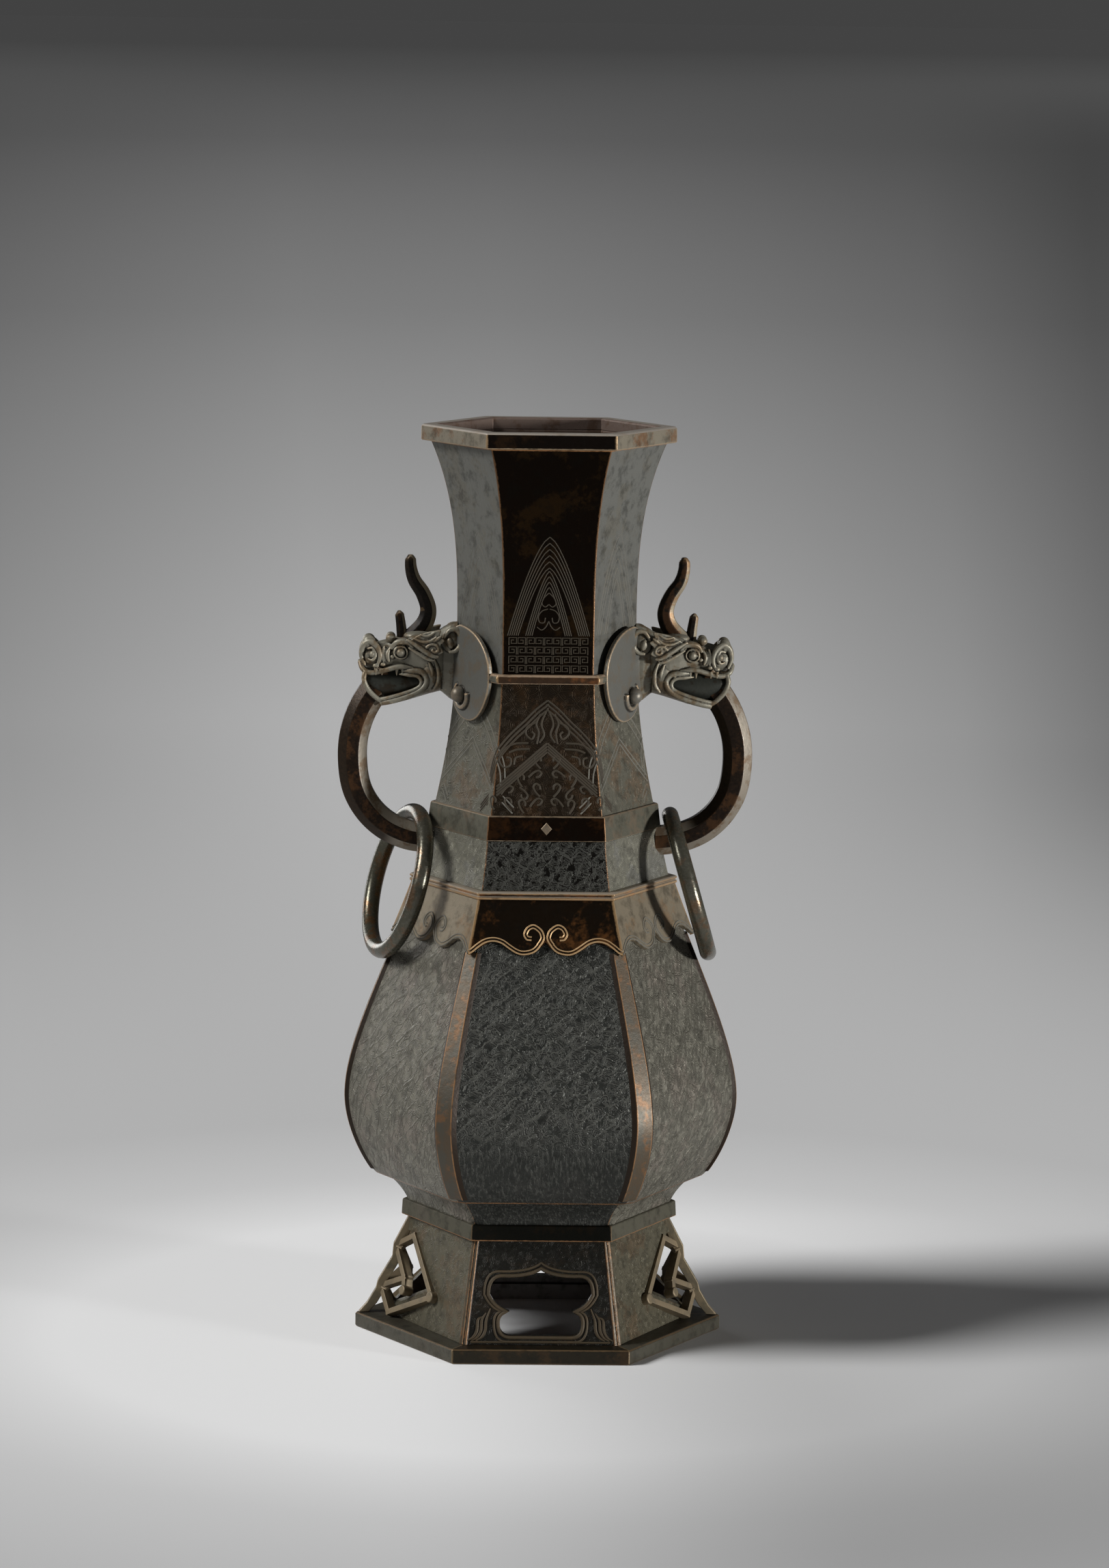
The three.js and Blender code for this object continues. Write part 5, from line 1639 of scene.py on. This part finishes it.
# The camera as fitted to the photograph, in millimetres, degrees and pixels
CAMERA_PLACE = (-10.29, -2570.40, 647.70)
CAMERA_ANGLES = (-0.3372, -8.2795, -0.7846, -1.1205)
PHOTO_WIDTH, FOCAL_LENGTH = 1624, 7750.08
SENSOR = 36

# The paper's tone by distance from the vase, in metres: a painted pool of light round the vase and
# painted shade that darkens it far away
PAPER = [(0.24, 0.98), (0.35, 0.74), (0.5, 0.62), (2.3, 0.61), (4.4, 0.45), (9.0, 0.285),
         (25.0, 0.155), (60.0, 0.1), (99.0, 0.08)]
# How far off the camera stands, and the width of its view as a share of that
CAMERA_REACH, VIEW_SHARE = 2570, 0.3
# The painted shade of the far paper from the left of the picture to its right
PAPER_ASIDE = [(0.2, 0.7), (0.4, 1.0), (0.53, 1.0), (0.7, 0.82), (0.8, 0.68), (0.9, 0.42)]


def make_studio():
    """One sheet of pale paper all round the vase, with painted light and shade: a pool of light round
    the vase, darker far away and to the sides, and a painted shadow near on the right.
    """
    clear_bench()
    bpy.ops.mesh.primitive_circle_add(vertices=96, radius=400, fill_type="NGON")
    floor = named("studio_floor")
    paper = Bench("studio_paper")
    where = paper.place()
    x, y = paper.part(where, 0), paper.part(where, 1)
    reach = (x * x + y * y) ** 0.5
    share = (reach / 100).most(1.0).maths("LOGARITHM", 10.0) / 3
    tone = paper.greys(share, [(math.log10(metres * 10) / 3, grey) for metres, grey in PAPER])
    spread = paper.greys(x / (reach + CAMERA_REACH) / VIEW_SHARE + 0.5, PAPER_ASIDE)
    backdrop = paper.ramp(reach, 400, 2200) * paper.ramp(reach, 12000, 60000, 1.0, 0.0)
    spread = paper.tint(backdrop, (1, 1, 1, 1), spread)
    # painted shadow: a darker patch on the floor to the right of the vase
    near = (paper.ramp(x, -90, 150) * paper.ramp(y, 60, 260, 1.0, 0.0)
            * paper.ramp(reach, 380, 650, 1.0, 0.0))
    spread = paper.tint(near, spread, (0.64, 0.64, 0.64, 1))
    colour = paper.node("ShaderNodeMix", {"data_type": "RGBA", "blend_type": "MULTIPLY"},
                        {0: 1.0, 6: tone, 7: spread}, output=2)
    floor.data.materials.append(paper.finish(colour, 1.0, 0.0, specular=0.0))


def far_lamp(name, place, wide, strength):
    """A lamp so far off that it lights the whole floor alike. Its place gives its direction."""
    light = bpy.data.lights.new(name, "SUN")
    light.angle = math.radians(wide)
    light.energy = strength
    lamp = bpy.data.objects.new(name, light)
    bpy.context.scene.collection.objects.link(lamp)
    lamp.location = place
    lamp.rotation_mode = "QUATERNION"
    lamp.rotation_quaternion = (-Vector(place)).to_track_quat("-Z", "Y")


def make_camera():
    yaw, pitch, roll, twist = (math.radians(angle) for angle in CAMERA_ANGLES)
    look = (Matrix.Rotation(twist, 3, "Z") @ Matrix.Rotation(yaw, 3, "Z")
            @ Matrix.Rotation(pitch, 3, "X") @ Matrix.Rotation(roll, 3, "Y"))
    place = Matrix.Rotation(twist, 3, "Z") @ Vector(CAMERA_PLACE) * MM
    data = bpy.data.cameras.new("camera")
    data.sensor_fit = "HORIZONTAL"
    data.sensor_width = SENSOR
    data.lens = FOCAL_LENGTH * SENSOR / PHOTO_WIDTH
    data.clip_end = 500
    camera = bpy.data.objects.new("camera", data)
    bpy.context.scene.collection.objects.link(camera)
    right, ahead, up = look.col[0], look.col[1], look.col[2]
    turn = Matrix((right, up, -ahead)).transposed()
    camera.matrix_world = Matrix.Translation(place) @ turn.to_4x4()
    bpy.context.scene.camera = camera


def make_world():
    """A dim grey room, which shows as a dark backdrop above the paper."""
    air = Bench("studio_air", bpy.data.worlds, "Background")
    seen = air.node("ShaderNodeLightPath", output="Is Camera Ray")
    for ray in ("Is Glossy Ray", "Is Transmission Ray"):
        seen = seen.most(air.node("ShaderNodeLightPath", output=ray))
    shade = air.tint(seen, (0.026, 0.026, 0.027, 1), (0.055, 0.055, 0.055, 1))
    air.tree.links.new(shade.socket, air.shader.inputs["Color"])
    bpy.context.scene.world = air.material


make_studio()
make_world()
far_lamp("key", (-1.15, -0.33, 0.92), wide=20, strength=3.1)
far_lamp("fill", (1.7, -1.0, 0.035), wide=8, strength=5.7)
far_lamp("back_fill", (-1.0, 1.5, 0.2), wide=30, strength=0.8)
make_camera()
bpy.context.scene.view_settings.view_transform = "Standard"
